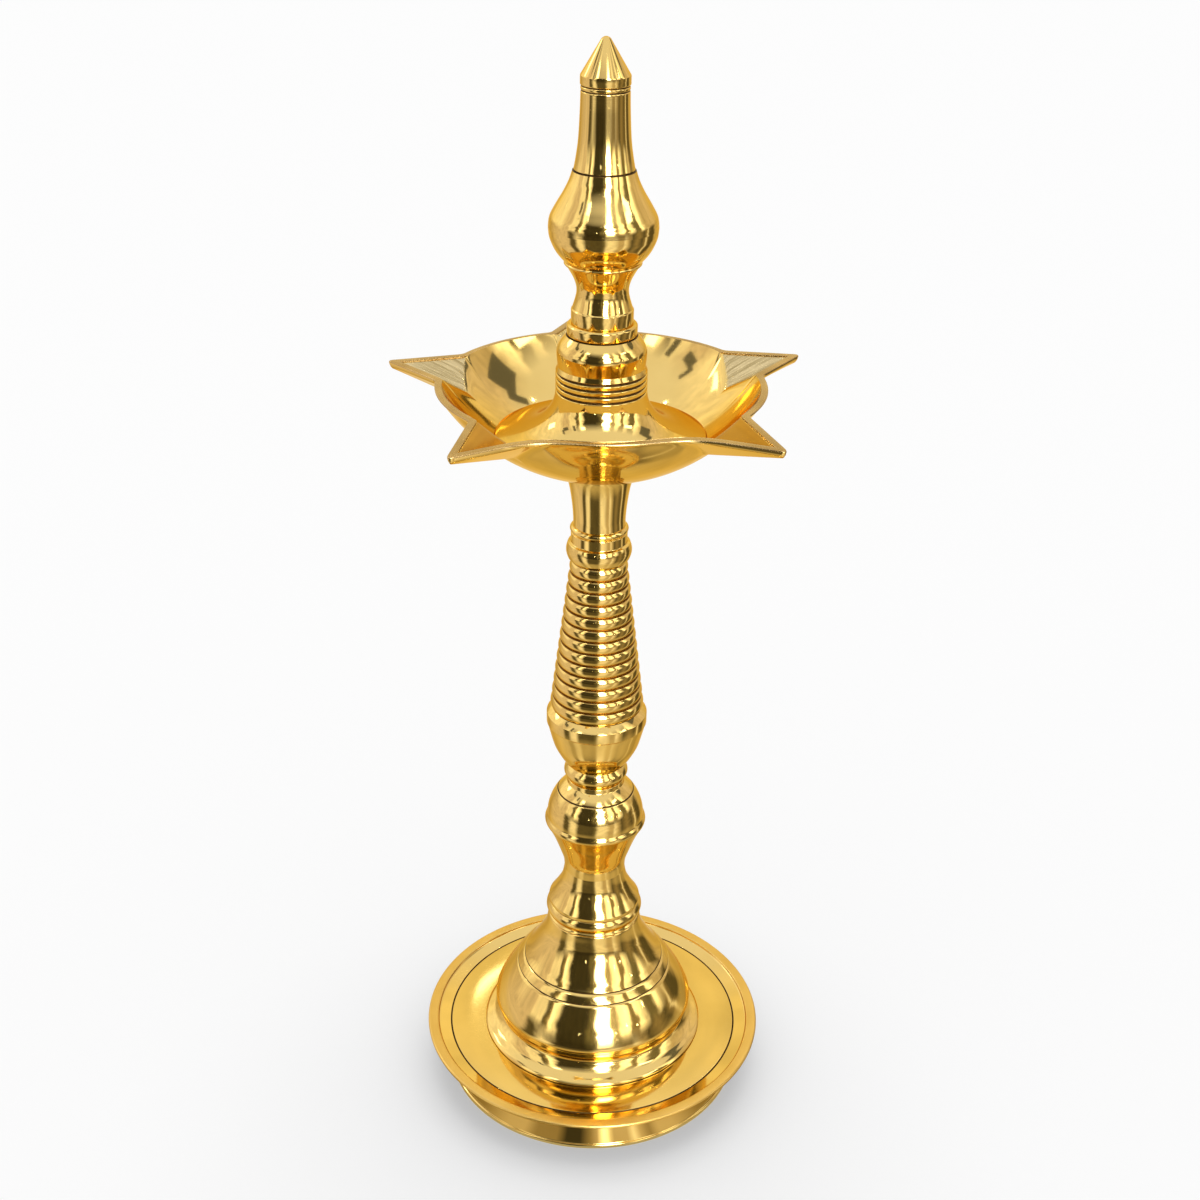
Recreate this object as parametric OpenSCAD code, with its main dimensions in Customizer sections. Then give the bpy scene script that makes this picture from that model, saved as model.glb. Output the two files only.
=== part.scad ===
// Standing oil lamp: turned brass castings that screw together on threaded studs.
// The origin is the centre of the foot ring on the floor, +Z is up, and a spout points along +Y.

/* [Threads] */
// Diameter of the studs in the base and the stem
stud_d = 10; // [8:0.5:12]
// Pitch of the stem threads
stud_pitch = 1.5; // [1:0.25:2]
// Length of stem thread that engages
stud_engage = 12; // [8:0.5:14]
// Diameter of the studs in the hub and the finial
pin_d = 8; // [6:0.5:9]
// Pitch of the finial threads
pin_pitch = 1.25; // [0.75:0.25:1.5]
// Length of finial thread that engages
pin_engage = 10; // [6:0.5:11]
// Radial clearance of a thread in its hole
thread_gap = 0.08; // [0.03:0.01:0.1]
// Room left beyond the end of a stud in a blind hole
blind_room = 2; // [1:0.5:3]

/* [Base tray] */
// Height of the rim above the floor
tray_h = 22.4; // [21:0.2:30]
// Outer radius of the rim
rim_r = 75.6; // [74:0.2:85]
// Width of the rim
rim_w = 5; // [4.4:0.1:7]
// Width of the bevel inside the rim
rim_bevel = 0.5; // [0.3:0.1:1.8]
// Height of that bevel
rim_step = 1.1; // [0.6:0.1:1.6]
// Thickness of the rim's rounded edge
rim_t = 1.8; // [1.4:0.1:2.4]
// Depth of the tray below its rim
dish_depth = 2.3; // [2:0.1:5]
// Radius of the tray's flat floor, where a fine line is scribed
dish_floor_r = 65.4; // [60:0.2:66]
// Thickness of the tray
tray_wall = 3; // [2:0.2:4]
// Outer radius of the foot ring on the floor
foot_r = 65.5; // [62:0.5:68]
// Height of the lip round the foot ring
foot_lip_h = 1.8; // [1:0.1:3]
// How far that lip stands out
foot_lip = 0.8; // [0.4:0.1:1.2]
// Radius of the hole in the tray under the bell
tray_hole_r = 35; // [30:0.5:37]

/* [Base bell] */
// Height of the bell above the tray
bell_h = 59; // [54:0.5:66]
// Radius of the bell's neck
bell_neck_r = 20.2; // [18:0.2:20.6]
// Largest radius of the bell
bell_belly_r = 44.2; // [43:0.2:46]
// Height of the bell's largest radius
bell_belly_z = 14; // [12:0.5:16]
// Radius of the crease under the belly
bell_crease_r = 41.4; // [39:0.2:42.4]
// Height of the crease under the belly
bell_crease_z = 8.2; // [6:0.2:9.6]
// Radius of the bell's foot on the tray
bell_foot_r = 49.1; // [46:0.2:54]
// Height of the bell's foot edge
bell_foot_edge = 0.9; // [0.5:0.1:2]
// Thickness of the bell's wall
bell_wall = 3.2; // [2.4:0.2:4]
// Thickness of the bell's crown, which the tie rod passes through
bell_crown = 12; // [8:0.5:16]
// Heights of the two lines scribed round the bell
bell_line_low = 32.6; // [28:0.2:34]
bell_line_high = 36.4; // [35:0.2:40]

/* [Base fixings] */
// Width of the strap under the tray
strap_w = 16; // [14:0.5:20]
// Thickness of the strap
strap_t = 4; // [3:0.2:4.6]
// How far the strap laps the tray on each side of the hole
strap_lap = 9; // [6:0.5:14]
// Thickness of the washer
washer_t = 1.6; // [1:0.1:2]
// Radius of the washer
washer_r = 10.5; // [10:0.5:14]
// Width of the nut across its flats
nut_w = 17; // [15:0.5:19]
// Height of the nut
nut_h = 7.6; // [5:0.2:8]

/* [Base collar] */
// Height of the collar ring on the bell
collar_h = 7.5; // [6:0.1:10]
// Largest radius of the collar ring
collar_r = 21.1; // [20.8:0.1:23]
// Height of the thin lip at the collar's foot
collar_lip_h = 1.3; // [0.8:0.1:2]

/* [Lower stem] */
// Height of the lower stem
lower_h = 63.9; // [62:0.1:72]
// Radius of the trumpet foot
trumpet_r = 20; // [17:0.2:20.6]
// Height of the trumpet's edge
trumpet_edge = 1.8; // [1:0.1:3]
// Radius of the waist
waist_r = 13.2; // [11:0.2:14.4]
// Height of the waist
waist_z = 17.7; // [15:0.5:20]
// Radius of the ball knop
knop_r = 20.8; // [19:0.2:21.4]
// Height of the ball's centre
knop_z = 45; // [43:0.2:46]
// Radius of the raised edge round the ball
knop_edge_r = 21.8; // [21.6:0.1:23]
// Height of the raised edge
knop_edge_h = 2.6; // [2:0.1:3.4]
// Radius of the lower stem's top
lower_top_r = 12.1; // [11:0.1:12.6]
// Radius of the line scribed round the ball
knop_line_r = 16.3; // [14:0.1:18]

/* [Stem bead] */
// Height of the bead ring
bead_h = 7.6; // [6:0.1:9]
// Largest radius of the bead ring
bead_r = 13.6; // [13.2:0.1:15]
// Radius of the bead ring's flat faces
bead_face_r = 11.6; // [10:0.1:12]

/* [Ribbed stem] */
// Height of the ribbed stem
stem_h = 135.3; // [133:0.1:150]
// Radius of the cup's foot
cup_foot_r = 12.2; // [11:0.1:13]
// Height of the cup
cup_h = 20.6; // [18:0.2:22]
// Radius of the wide ring on the cup
ring_r = 21.1; // [20.8:0.1:23]
// Height of the wide ring
ring_h = 4.9; // [4:0.1:6]
// Number of ribs
rib_count = 13; // [9:1:13]
// Distance from one rib to the next
rib_pitch = 5.2; // [4.4:0.1:5.3]
// Depth of the grooves between the ribs
rib_depth = 1; // [0.6:0.05:1.4]
// Radius of the lowest rib
rib_low_r = 19.5; // [18:0.1:20.4]
// Radius of the highest rib
rib_high_r = 11.9; // [11.4:0.1:14]
// Height of the lowest rib above the wide ring
rib_start = 5; // [4:0.1:6]
// Largest radius of the band above the ribs
band_r = 13.3; // [12.6:0.1:15]
// Height of the band
band_h = 6.6; // [5:0.1:7]
// Radius of the stem between band and neck ring
collar_neck_r = 11.4; // [10.8:0.1:11.8]
// Distance from the band to the neck ring
neck_ring_rise = 4.6; // [4:0.1:6]
// Largest radius of the neck ring
neck_ring_r = 11.8; // [11.6:0.1:13]
// Height of the neck ring
neck_ring_h = 2.8; // [2:0.1:4]
// Smallest radius of the neck
neck_r = 10.5; // [9.4:0.1:11]
// Radius of the neck's flared top
neck_top_r = 14.8; // [13:0.2:17]
// Thickness of the washer let into the stem's top
seal_t = 1.2; // [0.8:0.1:1.6]
// Radius of that washer
seal_r = 9.5; // [8:0.1:11]
// Clearance round that washer
seal_gap = 0.3; // [0.1:0.05:0.5]

/* [Oil bowl] */
// Outer radius of the bowl's rim
bowl_r = 63.9; // [62:0.2:72]
// Depth of the bowl's outside below its rim
bowl_depth = 36.3; // [33:0.1:38]
// How much of the bowl's crown is turned flat to sit on the stem
bowl_flat = 0.9; // [0.6:0.1:1.4]
// Thickness of the bowl's wall
bowl_wall = 2.4; // [2:0.1:3.4]

/* [Spouts] */
// Angle from the back spout to each side spout
spout_side_at = 70.4; // [66:0.2:76]
// Angle from the back spout to each front spout
spout_front_at = 141; // [136:0.5:146]
// How far the back spout's tip stands out from the rim
back_reach = 26.6; // [22:0.1:32]
// How far the side spouts' tips stand out from the rim
side_reach = 22.9; // [20:0.1:30]
// How far the front spouts' tips stand out from the rim
front_reach = 29.6; // [22:0.1:32]
// Half of the angle that a spout's root takes on the rim
spout_root = 14.5; // [11:0.5:17]
// Half width of a spout's blunt tip
spout_tip = 1.7; // [1:0.1:2.4]
// Thickness of a spout's edge
spout_edge = 1.7; // [1.2:0.1:2.4]
// Depth of a spout's keel at its tip
spout_keel_tip = 2.8; // [2.4:0.1:4]
// Depth of a spout's keel where it meets the bowl
spout_keel_root = 11.2; // [10:0.2:13]
// Half width of a spout's keel
spout_keel_half = 1.2; // [0.8:0.1:1.6]
// Width of the flat band along a spout's edge
spout_band = 2.4; // [1.6:0.1:3]
// Depth of a spout's trough at its tip
trough_tip = 0.7; // [0.4:0.1:1.2]
// Depth of a spout's trough at the bowl's wall
trough_root = 7.2; // [5:0.1:8]
// Half width of the trough's tip
trough_keel_half = 0.6; // [0.4:0.1:1]

/* [Hub] */
// Height of the hub above its gasket
hub_h = 50.9; // [50:0.1:56]
// Radius of the hub's trumpet foot in the bowl
hub_foot_r = 41; // [36:0.2:46]
// Thickness of the trumpet foot's edge
hub_edge = 0.5; // [0.3:0.1:1]
// Height of the trumpet's top above the gasket
hub_neck_z = 29.1; // [26:0.1:30]
// Radius of the hub at the trumpet's top
hub_neck_r = 17.7; // [16:0.1:18.4]
// Largest radius of the hub's ball
hub_r = 17.3; // [16:0.1:18.4]
// Radius of the hub's top
hub_top_r = 13.6; // [12.6:0.1:14.4]
// Number of grooves round the hub
hub_grooves = 4; // [2:1:4]
// Distance from one groove to the next
hub_groove_pitch = 2.4; // [1.8:0.1:2.6]
// Radius of the grooves' round bottoms
hub_groove_r = 0.55; // [0.3:0.05:0.8]
// Clearance between the hub's underside and the bowl
hub_gap = 0.15; // [0.05:0.01:0.3]
// Thickness of the gasket under the hub
gasket_t = 1.5; // [1:0.1:2]
// Radius of the gasket
gasket_r = 10; // [8:0.1:10.8]
// Height of the collar ring on the hub
hub_collar_h = 4.7; // [4:0.1:6]
// Radius of that collar ring
hub_collar_r = 13.5; // [12.6:0.1:15]

/* [Finial] */
// Height of the finial's waist
fin_waist_h = 23.7; // [22:0.1:28]
// Radius of the band at its foot
fin_band_r = 11.9; // [11:0.1:12.4]
// Height of that band
fin_band_h = 5.3; // [4:0.1:6.4]
// Smallest radius of the waist
fin_waist_r = 9.9; // [8.6:0.1:10.6]
// Height of the smallest radius
fin_waist_z = 11.8; // [11:0.1:14]
// Radius of the lip under the bulb
fin_lip_r = 14.7; // [14:0.1:16]
// Thickness of that lip
fin_lip_t = 1.3; // [0.8:0.1:2]
// Height of the bulb
bulb_h = 33.7; // [32:0.1:40]
// Largest radius of the bulb
bulb_r = 20.6; // [19:0.1:23]
// Height of the bulb's largest radius
bulb_z = 12.8; // [11:0.1:14]
// Radius of the bulb's foot
bulb_foot_r = 14.2; // [12.6:0.1:14.6]
// Radius of the bulb's top and the spire's foot
bulb_top_r = 11.7; // [10.6:0.1:12.6]
// Height of the spire
spire_h = 46.7; // [42:0.1:54]
// Radius of the spire's neck
spire_r = 9; // [8:0.1:10]
// Radius of the pointed cap's foot
cap_r = 9.2; // [8.6:0.1:10.4]
// Height of the pointed cap with its band
cap_h = 16.4; // [15:0.1:18]
// Height of the band under the cap's cone
cap_band_h = 3.2; // [2:0.1:4]
// Radius of the rounded point
point_r = 2.2; // [1.4:0.1:3]

/* [Hidden] */
$fn = 96;
// Steps in each stretch of a drawn curve
curve_steps = 4;
// Size of a small edge break
edge_break = 0.4;
// Radius of a scribed line's section
line_r = 0.4;
// How far the base collar's round stands out from its faces
collar_out = 1;
// Angle at which the finial's rounded point ends, just short of the axis
point_angle = 88;
// Extra length that makes a cut pass a face cleanly
cut_past = 1;
brass = "goldenrod";
brass_pale = "gold";
steel = "silver";
fibre = "saddlebrown";

// Radii of the threaded holes and lengths of the blind ones
stud_hole_r = stud_d / 2 + thread_gap;
pin_hole_r = pin_d / 2 + thread_gap;
stud_hole = stud_engage + blind_room;
pin_hole = pin_engage + blind_room;
// Depth of a thread's grooves as a share of its pitch, and half of their width as a share of that depth
thread_share = 0.5;
groove_share = 0.6;

// Levels of the stack, from the floor up
floor_z = tray_h - dish_depth;
bell_top_z = floor_z + bell_h;
lower_z = bell_top_z + collar_h;
bead_z = lower_z + lower_h;
stem_z = bead_z + bead_h;
bowl_z = stem_z + stem_h;
hub_z = bowl_z + bowl_wall + gasket_t;
hub_collar_z = hub_z + hub_h;
waist_foot_z = hub_collar_z + hub_collar_h;
bulb_foot_z = waist_foot_z + fin_waist_h;
spire_z = bulb_foot_z + bulb_h;

// Levels of the fixings under the tray
strap_z = floor_z - tray_wall - strap_t;
washer_z = strap_z - washer_t;
nut_z = washer_z - nut_h;
rod_end = 1;

// The bowl is part of a sphere through its rim and its crown
bowl_ball_r = (bowl_r * bowl_r + bowl_depth * bowl_depth) / (2 * bowl_depth);
bowl_rim_z = bowl_depth - bowl_flat;
bowl_ball_z = bowl_ball_r - bowl_flat;
bowl_in_r = bowl_ball_r - bowl_wall;
// Share of the inner radius at which the spouts' wedges and troughs begin
spout_start = 0.66;

// Each spout's angle from the back one and its reach
spouts = [[0, back_reach], [spout_side_at, side_reach], [spout_front_at, front_reach],
    [-spout_front_at, front_reach], [-spout_side_at, side_reach]];
// Where a spout's straight sides meet the rim, and where its wedge begins inside the bowl
spout_root_x = bowl_r * cos(spout_root);
spout_root_half = bowl_r * sin(spout_root);
spout_in_x = bowl_in_r * spout_start;

// Rise from the middle of the highest rib to the band, as a share of the ribs' distance
band_share = 0.8;
// Circle that makes a rib's section
rib_round_r = (rib_depth * rib_depth + rib_pitch * rib_pitch / 4) / (2 * rib_depth);
rib_low_z = cup_h + ring_h + rib_start;
rib_high_z = rib_low_z + (rib_count - 1) * rib_pitch;
rib_slope = (rib_high_r - rib_low_r) / (rib_high_z - rib_low_z);
band_z = rib_high_z + rib_pitch * band_share;
neck_ring_z = band_z + band_h + neck_ring_rise;

// Point at share t between b and c on a smooth curve through a, b, c and d
function spline(a, b, c, d, t) =
    0.5 * (2 * b + (c - a) * t + (2 * a - 5 * b + 4 * c - d) * t * t + (3 * b - a - 3 * c + d) * t * t * t);

// Smooth curve through points
function curve(p) = concat(
    [for (i = [0:len(p) - 2], j = [0:curve_steps - 1])
        spline(p[max(i - 1, 0)], p[i], p[i + 1], p[min(i + 2, len(p) - 1)], j / curve_steps)],
    [p[len(p) - 1]]);

// Points between a and b, bowed out by a given amount in the middle
function bow(a, b, out) =
    [for (i = [0:2 * curve_steps])
        let (t = i / (2 * curve_steps)) a + (b - a) * t + [out * sin(180 * t), 0]];

// Points of an arc round a centre
function arc(c, r, from, to) =
    [for (i = [0:2 * curve_steps])
        let (a = from + (to - from) * i / (2 * curve_steps)) c + r * [cos(a), sin(a)]];

// Points between a and b, where shape gives shares of the way across and of the way up
function between(a, b, shape) =
    [for (s = shape) [a[0] + (b[0] - a[0]) * s[0], a[1] + (b[1] - a[1]) * s[1]]];

// Solid turned from an outline that runs up from its foot to its top
module turned(outline) {
    rotate_extrude()
        polygon(concat([[0, outline[0][1]]], outline, [[0, outline[len(outline) - 1][1]]]));
}

// Ring section of a scribed line, to be cut from a turned piece
module scribed(r, z) {
    rotate_extrude() translate([r, z]) circle(r = line_r);
}

// Hole of radius r from level z up by h
module hole(r, z, h) {
    translate([0, 0, z]) cylinder(r = r, h = h);
}

// Stud with thread rings at both ends and a plain shank between them
module stud(d, length, pitch, low, high) {
    r = d / 2;
    deep = pitch * thread_share;
    half = deep * groove_share;
    low_n = floor((low - pitch) / pitch);
    high_n = floor((high - pitch) / pitch);
    turned(concat(
        [[r - deep, 0], [r, deep]],
        [for (i = [1:low_n], k = [-1:1]) [r - (k == 0 ? deep : 0), i * pitch + k * half]],
        [for (i = [high_n:-1:1], k = [-1:1]) [r - (k == 0 ? deep : 0), length - i * pitch + k * half]],
        [[r, length - deep], [r - deep, length]]));
}

// Solid between loops of points, each loop with as many points as the first
module loft(loops) {
    n = len(loops[0]);
    last = len(loops) - 1;
    points = [for (l = loops, p = l) p];
    sides = [for (i = [0:last - 1], j = [0:n - 1], half = [0, 1])
        let (a = i * n + j, b = i * n + (j + 1) % n)
            half == 0 ? [a, b + n, b] : [a, a + n, b + n]];
    low_cap = [for (j = [1:n - 2]) [0, j, j + 1]];
    high_cap = [for (j = [1:n - 2]) [last * n, last * n + j + 1, last * n + j]];
    polyhedron(points, concat(low_cap, sides, high_cap));
}

module base_tray() {
    edge_r = rim_t / 2;
    inner_r = foot_r - foot_lip - tray_wall;
    under_z = floor_z - tray_wall;
    outline = concat([
        [inner_r, 0],
        [foot_r, 0],
        [foot_r, foot_lip_h],
        [foot_r - foot_lip, foot_lip_h + edge_break],
        [foot_r + edge_break, under_z],
        [foot_r + 2 * edge_break, under_z + edge_break],
    ], arc([rim_r - edge_r, tray_h - edge_r], edge_r, -90, 90), [
        [rim_r - rim_w + rim_bevel, tray_h],
        [rim_r - rim_w, tray_h - rim_step],
        [dish_floor_r, floor_z],
        [tray_hole_r, floor_z],
        [tray_hole_r, under_z],
        [inner_r - edge_break, under_z],
        [inner_r, under_z - edge_break],
    ]);
    color(brass) difference() {
        rotate_extrude() polygon(outline);
        scribed(dish_floor_r - line_r, floor_z);
    }
}

// Half of the bell's section, from the belly up to the neck
bell_shape = [[0, 0], [0.02, 0.055], [0.17, 0.22], [0.43, 0.43], [0.67, 0.59], [0.91, 0.82], [1, 1]];

module base_bell() {
    belly = [bell_belly_r, bell_belly_z];
    neck = [bell_neck_r, bell_h - edge_break];
    crease = [bell_crease_r, bell_crease_z];
    foot = [bell_foot_r, bell_foot_edge];
    side = curve(between(belly, neck, bell_shape));
    ogee = curve(between(foot, crease, [[0, 0], [0.15, 0.13], [0.55, 0.36], [0.9, 0.75], [1, 1]]));
    tuck = curve([crease, [(crease[0] + 2 * belly[0]) / 3, (crease[1] + belly[1]) / 2], belly]);
    outer = concat([[foot[0], 0]], ogee, tuck, side, [[bell_neck_r - edge_break, bell_h]]);
    inside_top = bell_h - bell_crown;
    inner = concat(
        [[bell_crease_r - bell_wall, -cut_past], [bell_crease_r - bell_wall, bell_belly_z]],
        [for (p = side) if (p[1] > bell_belly_z && p[1] < inside_top) [p[0] - bell_wall, p[1]]],
        [[bell_neck_r - bell_wall, inside_top]]);
    line_at = function(z) lookup(z, [for (p = side) [p[1], p[0]]]);
    color(brass) translate([0, 0, floor_z]) difference() {
        turned(outer);
        turned(inner);
        hole(stud_hole_r, inside_top - cut_past, bell_crown + 2 * cut_past);
        scribed(line_at(bell_line_low), bell_line_low);
        scribed(line_at(bell_line_high), bell_line_high);
    }
}

module base_strap() {
    reach = tray_hole_r + strap_lap;
    color(steel) translate([0, 0, strap_z]) difference() {
        intersection() {
            translate([-strap_w / 2, -reach, 0]) cube([strap_w, 2 * reach, strap_t]);
            cylinder(r = reach, h = strap_t);
        }
        hole(stud_hole_r, -cut_past, strap_t + 2 * cut_past);
    }
}

module base_rod() {
    foot = nut_z - rod_end;
    length = lower_z + stud_engage - foot;
    nut_thread = nut_h + washer_t + strap_t + rod_end;
    color(brass_pale) translate([0, 0, foot]) stud(stud_d, length, stud_pitch, nut_thread, stud_engage);
}

module base_washer() {
    color(steel) translate([0, 0, washer_z]) difference() {
        cylinder(r = washer_r, h = washer_t);
        hole(stud_hole_r, -cut_past, washer_t + 2 * cut_past);
    }
}

module base_nut() {
    corner_r = nut_w / 2 / cos(30);
    chamfer = corner_r - nut_w / 2;
    color(steel) translate([0, 0, nut_z]) difference() {
        intersection() {
            cylinder(r = corner_r, h = nut_h, $fn = 6);
            turned([[nut_w / 2, 0], [corner_r, chamfer], [corner_r, nut_h]]);
        }
        hole(stud_hole_r, -cut_past, nut_h + 2 * cut_past);
    }
}

module base_collar() {
    groove_z = collar_lip_h + edge_break;
    face_r = collar_r - collar_out;
    color(brass) translate([0, 0, bell_top_z]) difference() {
        turned(concat(
            [[face_r, 0]],
            bow([face_r, 0], [face_r, collar_lip_h], edge_break),
            [[face_r - edge_break, groove_z]],
            bow([face_r - edge_break, groove_z], [face_r - edge_break, collar_h], collar_out + edge_break)));
        hole(stud_hole_r, -cut_past, collar_h + 2 * cut_past);
    }
}

module lower_stem() {
    edge_foot = knop_z - 2 * edge_break - knop_edge_h;
    edge_top = knop_z - 2 * edge_break;
    under_edge = [knop_edge_r - 2 * edge_break, edge_foot - edge_break];
    trumpet = between([trumpet_r, trumpet_edge], [waist_r, waist_z], [[0, 0], [0.4, 0.26], [0.82, 0.62], [1, 1]]);
    rise = between([waist_r, waist_z], under_edge, [[0, 0], [0.06, 0.2], [0.27, 0.42], [0.63, 0.74], [1, 1]]);
    top_angle = acos(lower_top_r / knop_r);
    color(brass) translate([0, 0, lower_z]) difference() {
        turned(concat(
            [[trumpet_r - edge_break, 0], [trumpet_r, edge_break]],
            curve(trumpet),
            curve(rise),
            bow([knop_edge_r - edge_break, edge_foot], [knop_edge_r - edge_break, edge_top], edge_break),
            arc([0, knop_z], knop_r, 0, top_angle),
            [[lower_top_r, lower_h]]));
        hole(stud_hole_r, -cut_past, stud_hole + cut_past);
        hole(stud_hole_r, lower_h - stud_hole, stud_hole + cut_past);
        scribed(knop_line_r, knop_z + sqrt(knop_r * knop_r - knop_line_r * knop_line_r));
    }
}

module stem_stud() {
    length = 2 * stud_engage + bead_h;
    color(brass_pale) translate([0, 0, bead_z - stud_engage])
        stud(stud_d, length, stud_pitch, stud_engage, stud_engage);
}

module stem_bead() {
    color(brass) translate([0, 0, bead_z]) difference() {
        turned(bow([bead_face_r, 0], [bead_face_r, bead_h], bead_r - bead_face_r));
        hole(stud_hole_r, -cut_past, bead_h + 2 * cut_past);
    }
}

module ribbed_stem() {
    ring_foot = [ring_r, cup_h];
    cup = between([cup_foot_r, 0], [ring_r - edge_break, cup_h - edge_break],
        [[0, 0], [0.2, 0.11], [0.48, 0.31], [0.7, 0.51], [0.91, 0.83], [1, 1]]);
    core = function(z) rib_low_r - rib_round_r + rib_slope * (z - rib_low_z);
    root_low = core(rib_low_z) + rib_round_r - rib_depth;
    root_high = core(rib_high_z) + rib_round_r - rib_depth;
    neck = between([neck_r, neck_ring_z + neck_ring_h], [neck_top_r, stem_h],
        [[0, 0], [0.01, 0.16], [0.13, 0.4], [0.36, 0.67], [0.66, 0.87], [1, 1]]);
    color(brass) translate([0, 0, stem_z]) difference() {
        union() {
            turned(concat(
                curve(cup),
                [ring_foot, [ring_r, cup_h + ring_h - edge_break], [ring_r - edge_break, cup_h + ring_h]],
                [[root_low, rib_low_z - rib_pitch / 2], [root_high, rib_high_z + rib_pitch / 2]],
                [[band_r - 2 * edge_break, band_z]],
                bow([band_r - 2 * edge_break, band_z], [band_r - 2 * edge_break, band_z + band_h], 2 * edge_break),
                [[collar_neck_r, band_z + band_h + edge_break], [collar_neck_r, neck_ring_z]],
                bow([neck_r + edge_break, neck_ring_z], [neck_r + edge_break, neck_ring_z + neck_ring_h],
                    neck_ring_r - neck_r - edge_break),
                curve(neck)));
            rotate_extrude() for (i = [0:rib_count - 1])
                let (z = rib_low_z + i * rib_pitch) translate([core(z), z]) circle(r = rib_round_r);
        }
        hole(stud_hole_r, -cut_past, stud_hole + cut_past);
        hole(stud_hole_r, stem_h - stud_hole, stud_hole + cut_past);
        hole(seal_r + seal_gap, stem_h - seal_t, seal_t + cut_past);
    }
}

module bowl_stud() {
    length = hub_z + stud_engage - (bowl_z - stud_engage);
    color(brass_pale) translate([0, 0, bowl_z - stud_engage])
        stud(stud_d, length, stud_pitch, stud_engage, stud_engage);
}

module bowl_washer() {
    color(fibre) translate([0, 0, bowl_z - seal_t]) difference() {
        cylinder(r = seal_r, h = seal_t);
        hole(stud_hole_r, -cut_past, seal_t + 2 * cut_past);
    }
}

// Wedge or trough of one spout along +X: an outline at the top, the same outline lower down,
// and a narrow keel below it that slopes from the tip to the bowl
module beak(tip_x, tip_half, root_x, root_half, in_x, top, edge, keel_tip, keel_root, keel_half) {
    slope = (root_half - tip_half) / (tip_x - tip_half - root_x);
    in_half = root_half + slope * (root_x - in_x);
    side = tip_x - tip_half;
    plan = [[in_x, -in_half], [side, -tip_half], [tip_x, 0], [side, tip_half], [in_x, in_half]];
    keel = function(x) -keel_tip - (keel_root - keel_tip) * (tip_x - x) / (tip_x - root_x);
    loft([
        [for (p = plan) [p[0], sign(p[1]) * keel_half, keel(p[0])]],
        [for (p = plan) [p[0], p[1], -edge]],
        [for (p = plan) [p[0], p[1], top]]]);
}

// Solid wedge of one spout along +X
module spout_wedge(reach) {
    beak(bowl_r + reach, spout_tip, spout_root_x, spout_root_half, spout_in_x, 0, spout_edge,
        spout_keel_tip, spout_keel_root, spout_keel_half);
}

// Trough that is cut into that wedge, leaving a flat band along its edges
module spout_trough(reach) {
    side_x = bowl_r + reach - spout_tip;
    slope = (spout_root_half - spout_tip) / (side_x - spout_root_x);
    inset = spout_band * sqrt(1 + slope * slope);
    trough_x = side_x + (spout_tip - inset) / slope;
    beak(trough_x, trough_keel_half, spout_root_x, spout_root_half - inset, spout_in_x, cut_past, 0,
        trough_tip, trough_root, trough_keel_half / 2);
}

// Puts a spout's shape at its angle on the rim
module at_spout(angle) {
    translate([0, 0, bowl_rim_z]) rotate(90 + angle) children();
}

module oil_bowl() {
    color(brass) translate([0, 0, bowl_z]) difference() {
        union() {
            intersection() {
                translate([0, 0, bowl_ball_z]) sphere(r = bowl_ball_r);
                cylinder(r = bowl_r + cut_past, h = bowl_rim_z);
            }
            for (s = spouts) at_spout(s[0]) spout_wedge(s[1]);
        }
        difference() {
            translate([0, 0, bowl_ball_z]) sphere(r = bowl_in_r);
            cylinder(r = bowl_r, h = bowl_wall);
        }
        for (s = spouts) at_spout(s[0]) spout_trough(s[1]);
        hole(stud_hole_r, -cut_past, bowl_wall + 2 * cut_past);
    }
}

module bowl_gasket() {
    color(fibre) translate([0, 0, bowl_z + bowl_wall]) difference() {
        cylinder(r = gasket_r, h = gasket_t);
        hole(stud_hole_r, -cut_past, gasket_t + 2 * cut_past);
    }
}

module hub() {
    ball_c = [0, bowl_z + bowl_ball_z - hub_z];
    foot = [hub_foot_r, ball_c[1] - sqrt(bowl_in_r * bowl_in_r - hub_foot_r * hub_foot_r) + hub_edge];
    neck = [hub_neck_r, hub_neck_z];
    groove_top = hub_neck_z + hub_grooves * hub_groove_pitch;
    ball_z = (groove_top + hub_h) / 2 - edge_break;
    trumpet = [for (i = [0:3 * curve_steps]) let (a = 90 - 90 * i / (3 * curve_steps))
        [foot[0] - (foot[0] - neck[0]) * cos(a), neck[1] - (neck[1] - foot[1]) * sin(a)]];
    ball = curve([[hub_neck_r - 2 * edge_break, groove_top], [hub_r, ball_z],
        [hub_r - 0.3 * (hub_r - hub_top_r), (ball_z + hub_h) / 2], [hub_top_r, hub_h]]);
    color(brass) translate([0, 0, hub_z]) difference() {
        rotate_extrude() difference() {
            intersection() {
                polygon(concat([[0, -bowl_wall], [hub_foot_r, -bowl_wall]], trumpet, ball, [[0, hub_h]]));
                translate(ball_c) circle(r = bowl_in_r - hub_gap);
            }
            for (i = [0:hub_grooves - 1])
                translate([hub_neck_r, hub_neck_z + i * hub_groove_pitch]) circle(r = hub_groove_r);
        }
        hole(gasket_r + seal_gap, -bowl_wall - cut_past, bowl_wall + cut_past);
        hole(stud_hole_r, -cut_past, stud_hole + cut_past);
        hole(pin_hole_r, hub_h - pin_hole, pin_hole + cut_past);
    }
}

module hub_collar() {
    color(brass) translate([0, 0, hub_collar_z]) difference() {
        turned([
            [hub_collar_r - edge_break, 0],
            [hub_collar_r, edge_break],
            [hub_collar_r, hub_collar_h - 2 * edge_break],
            [hub_collar_r - 2 * edge_break, hub_collar_h]]);
        hole(pin_hole_r, -cut_past, hub_collar_h + 2 * cut_past);
    }
}

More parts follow.
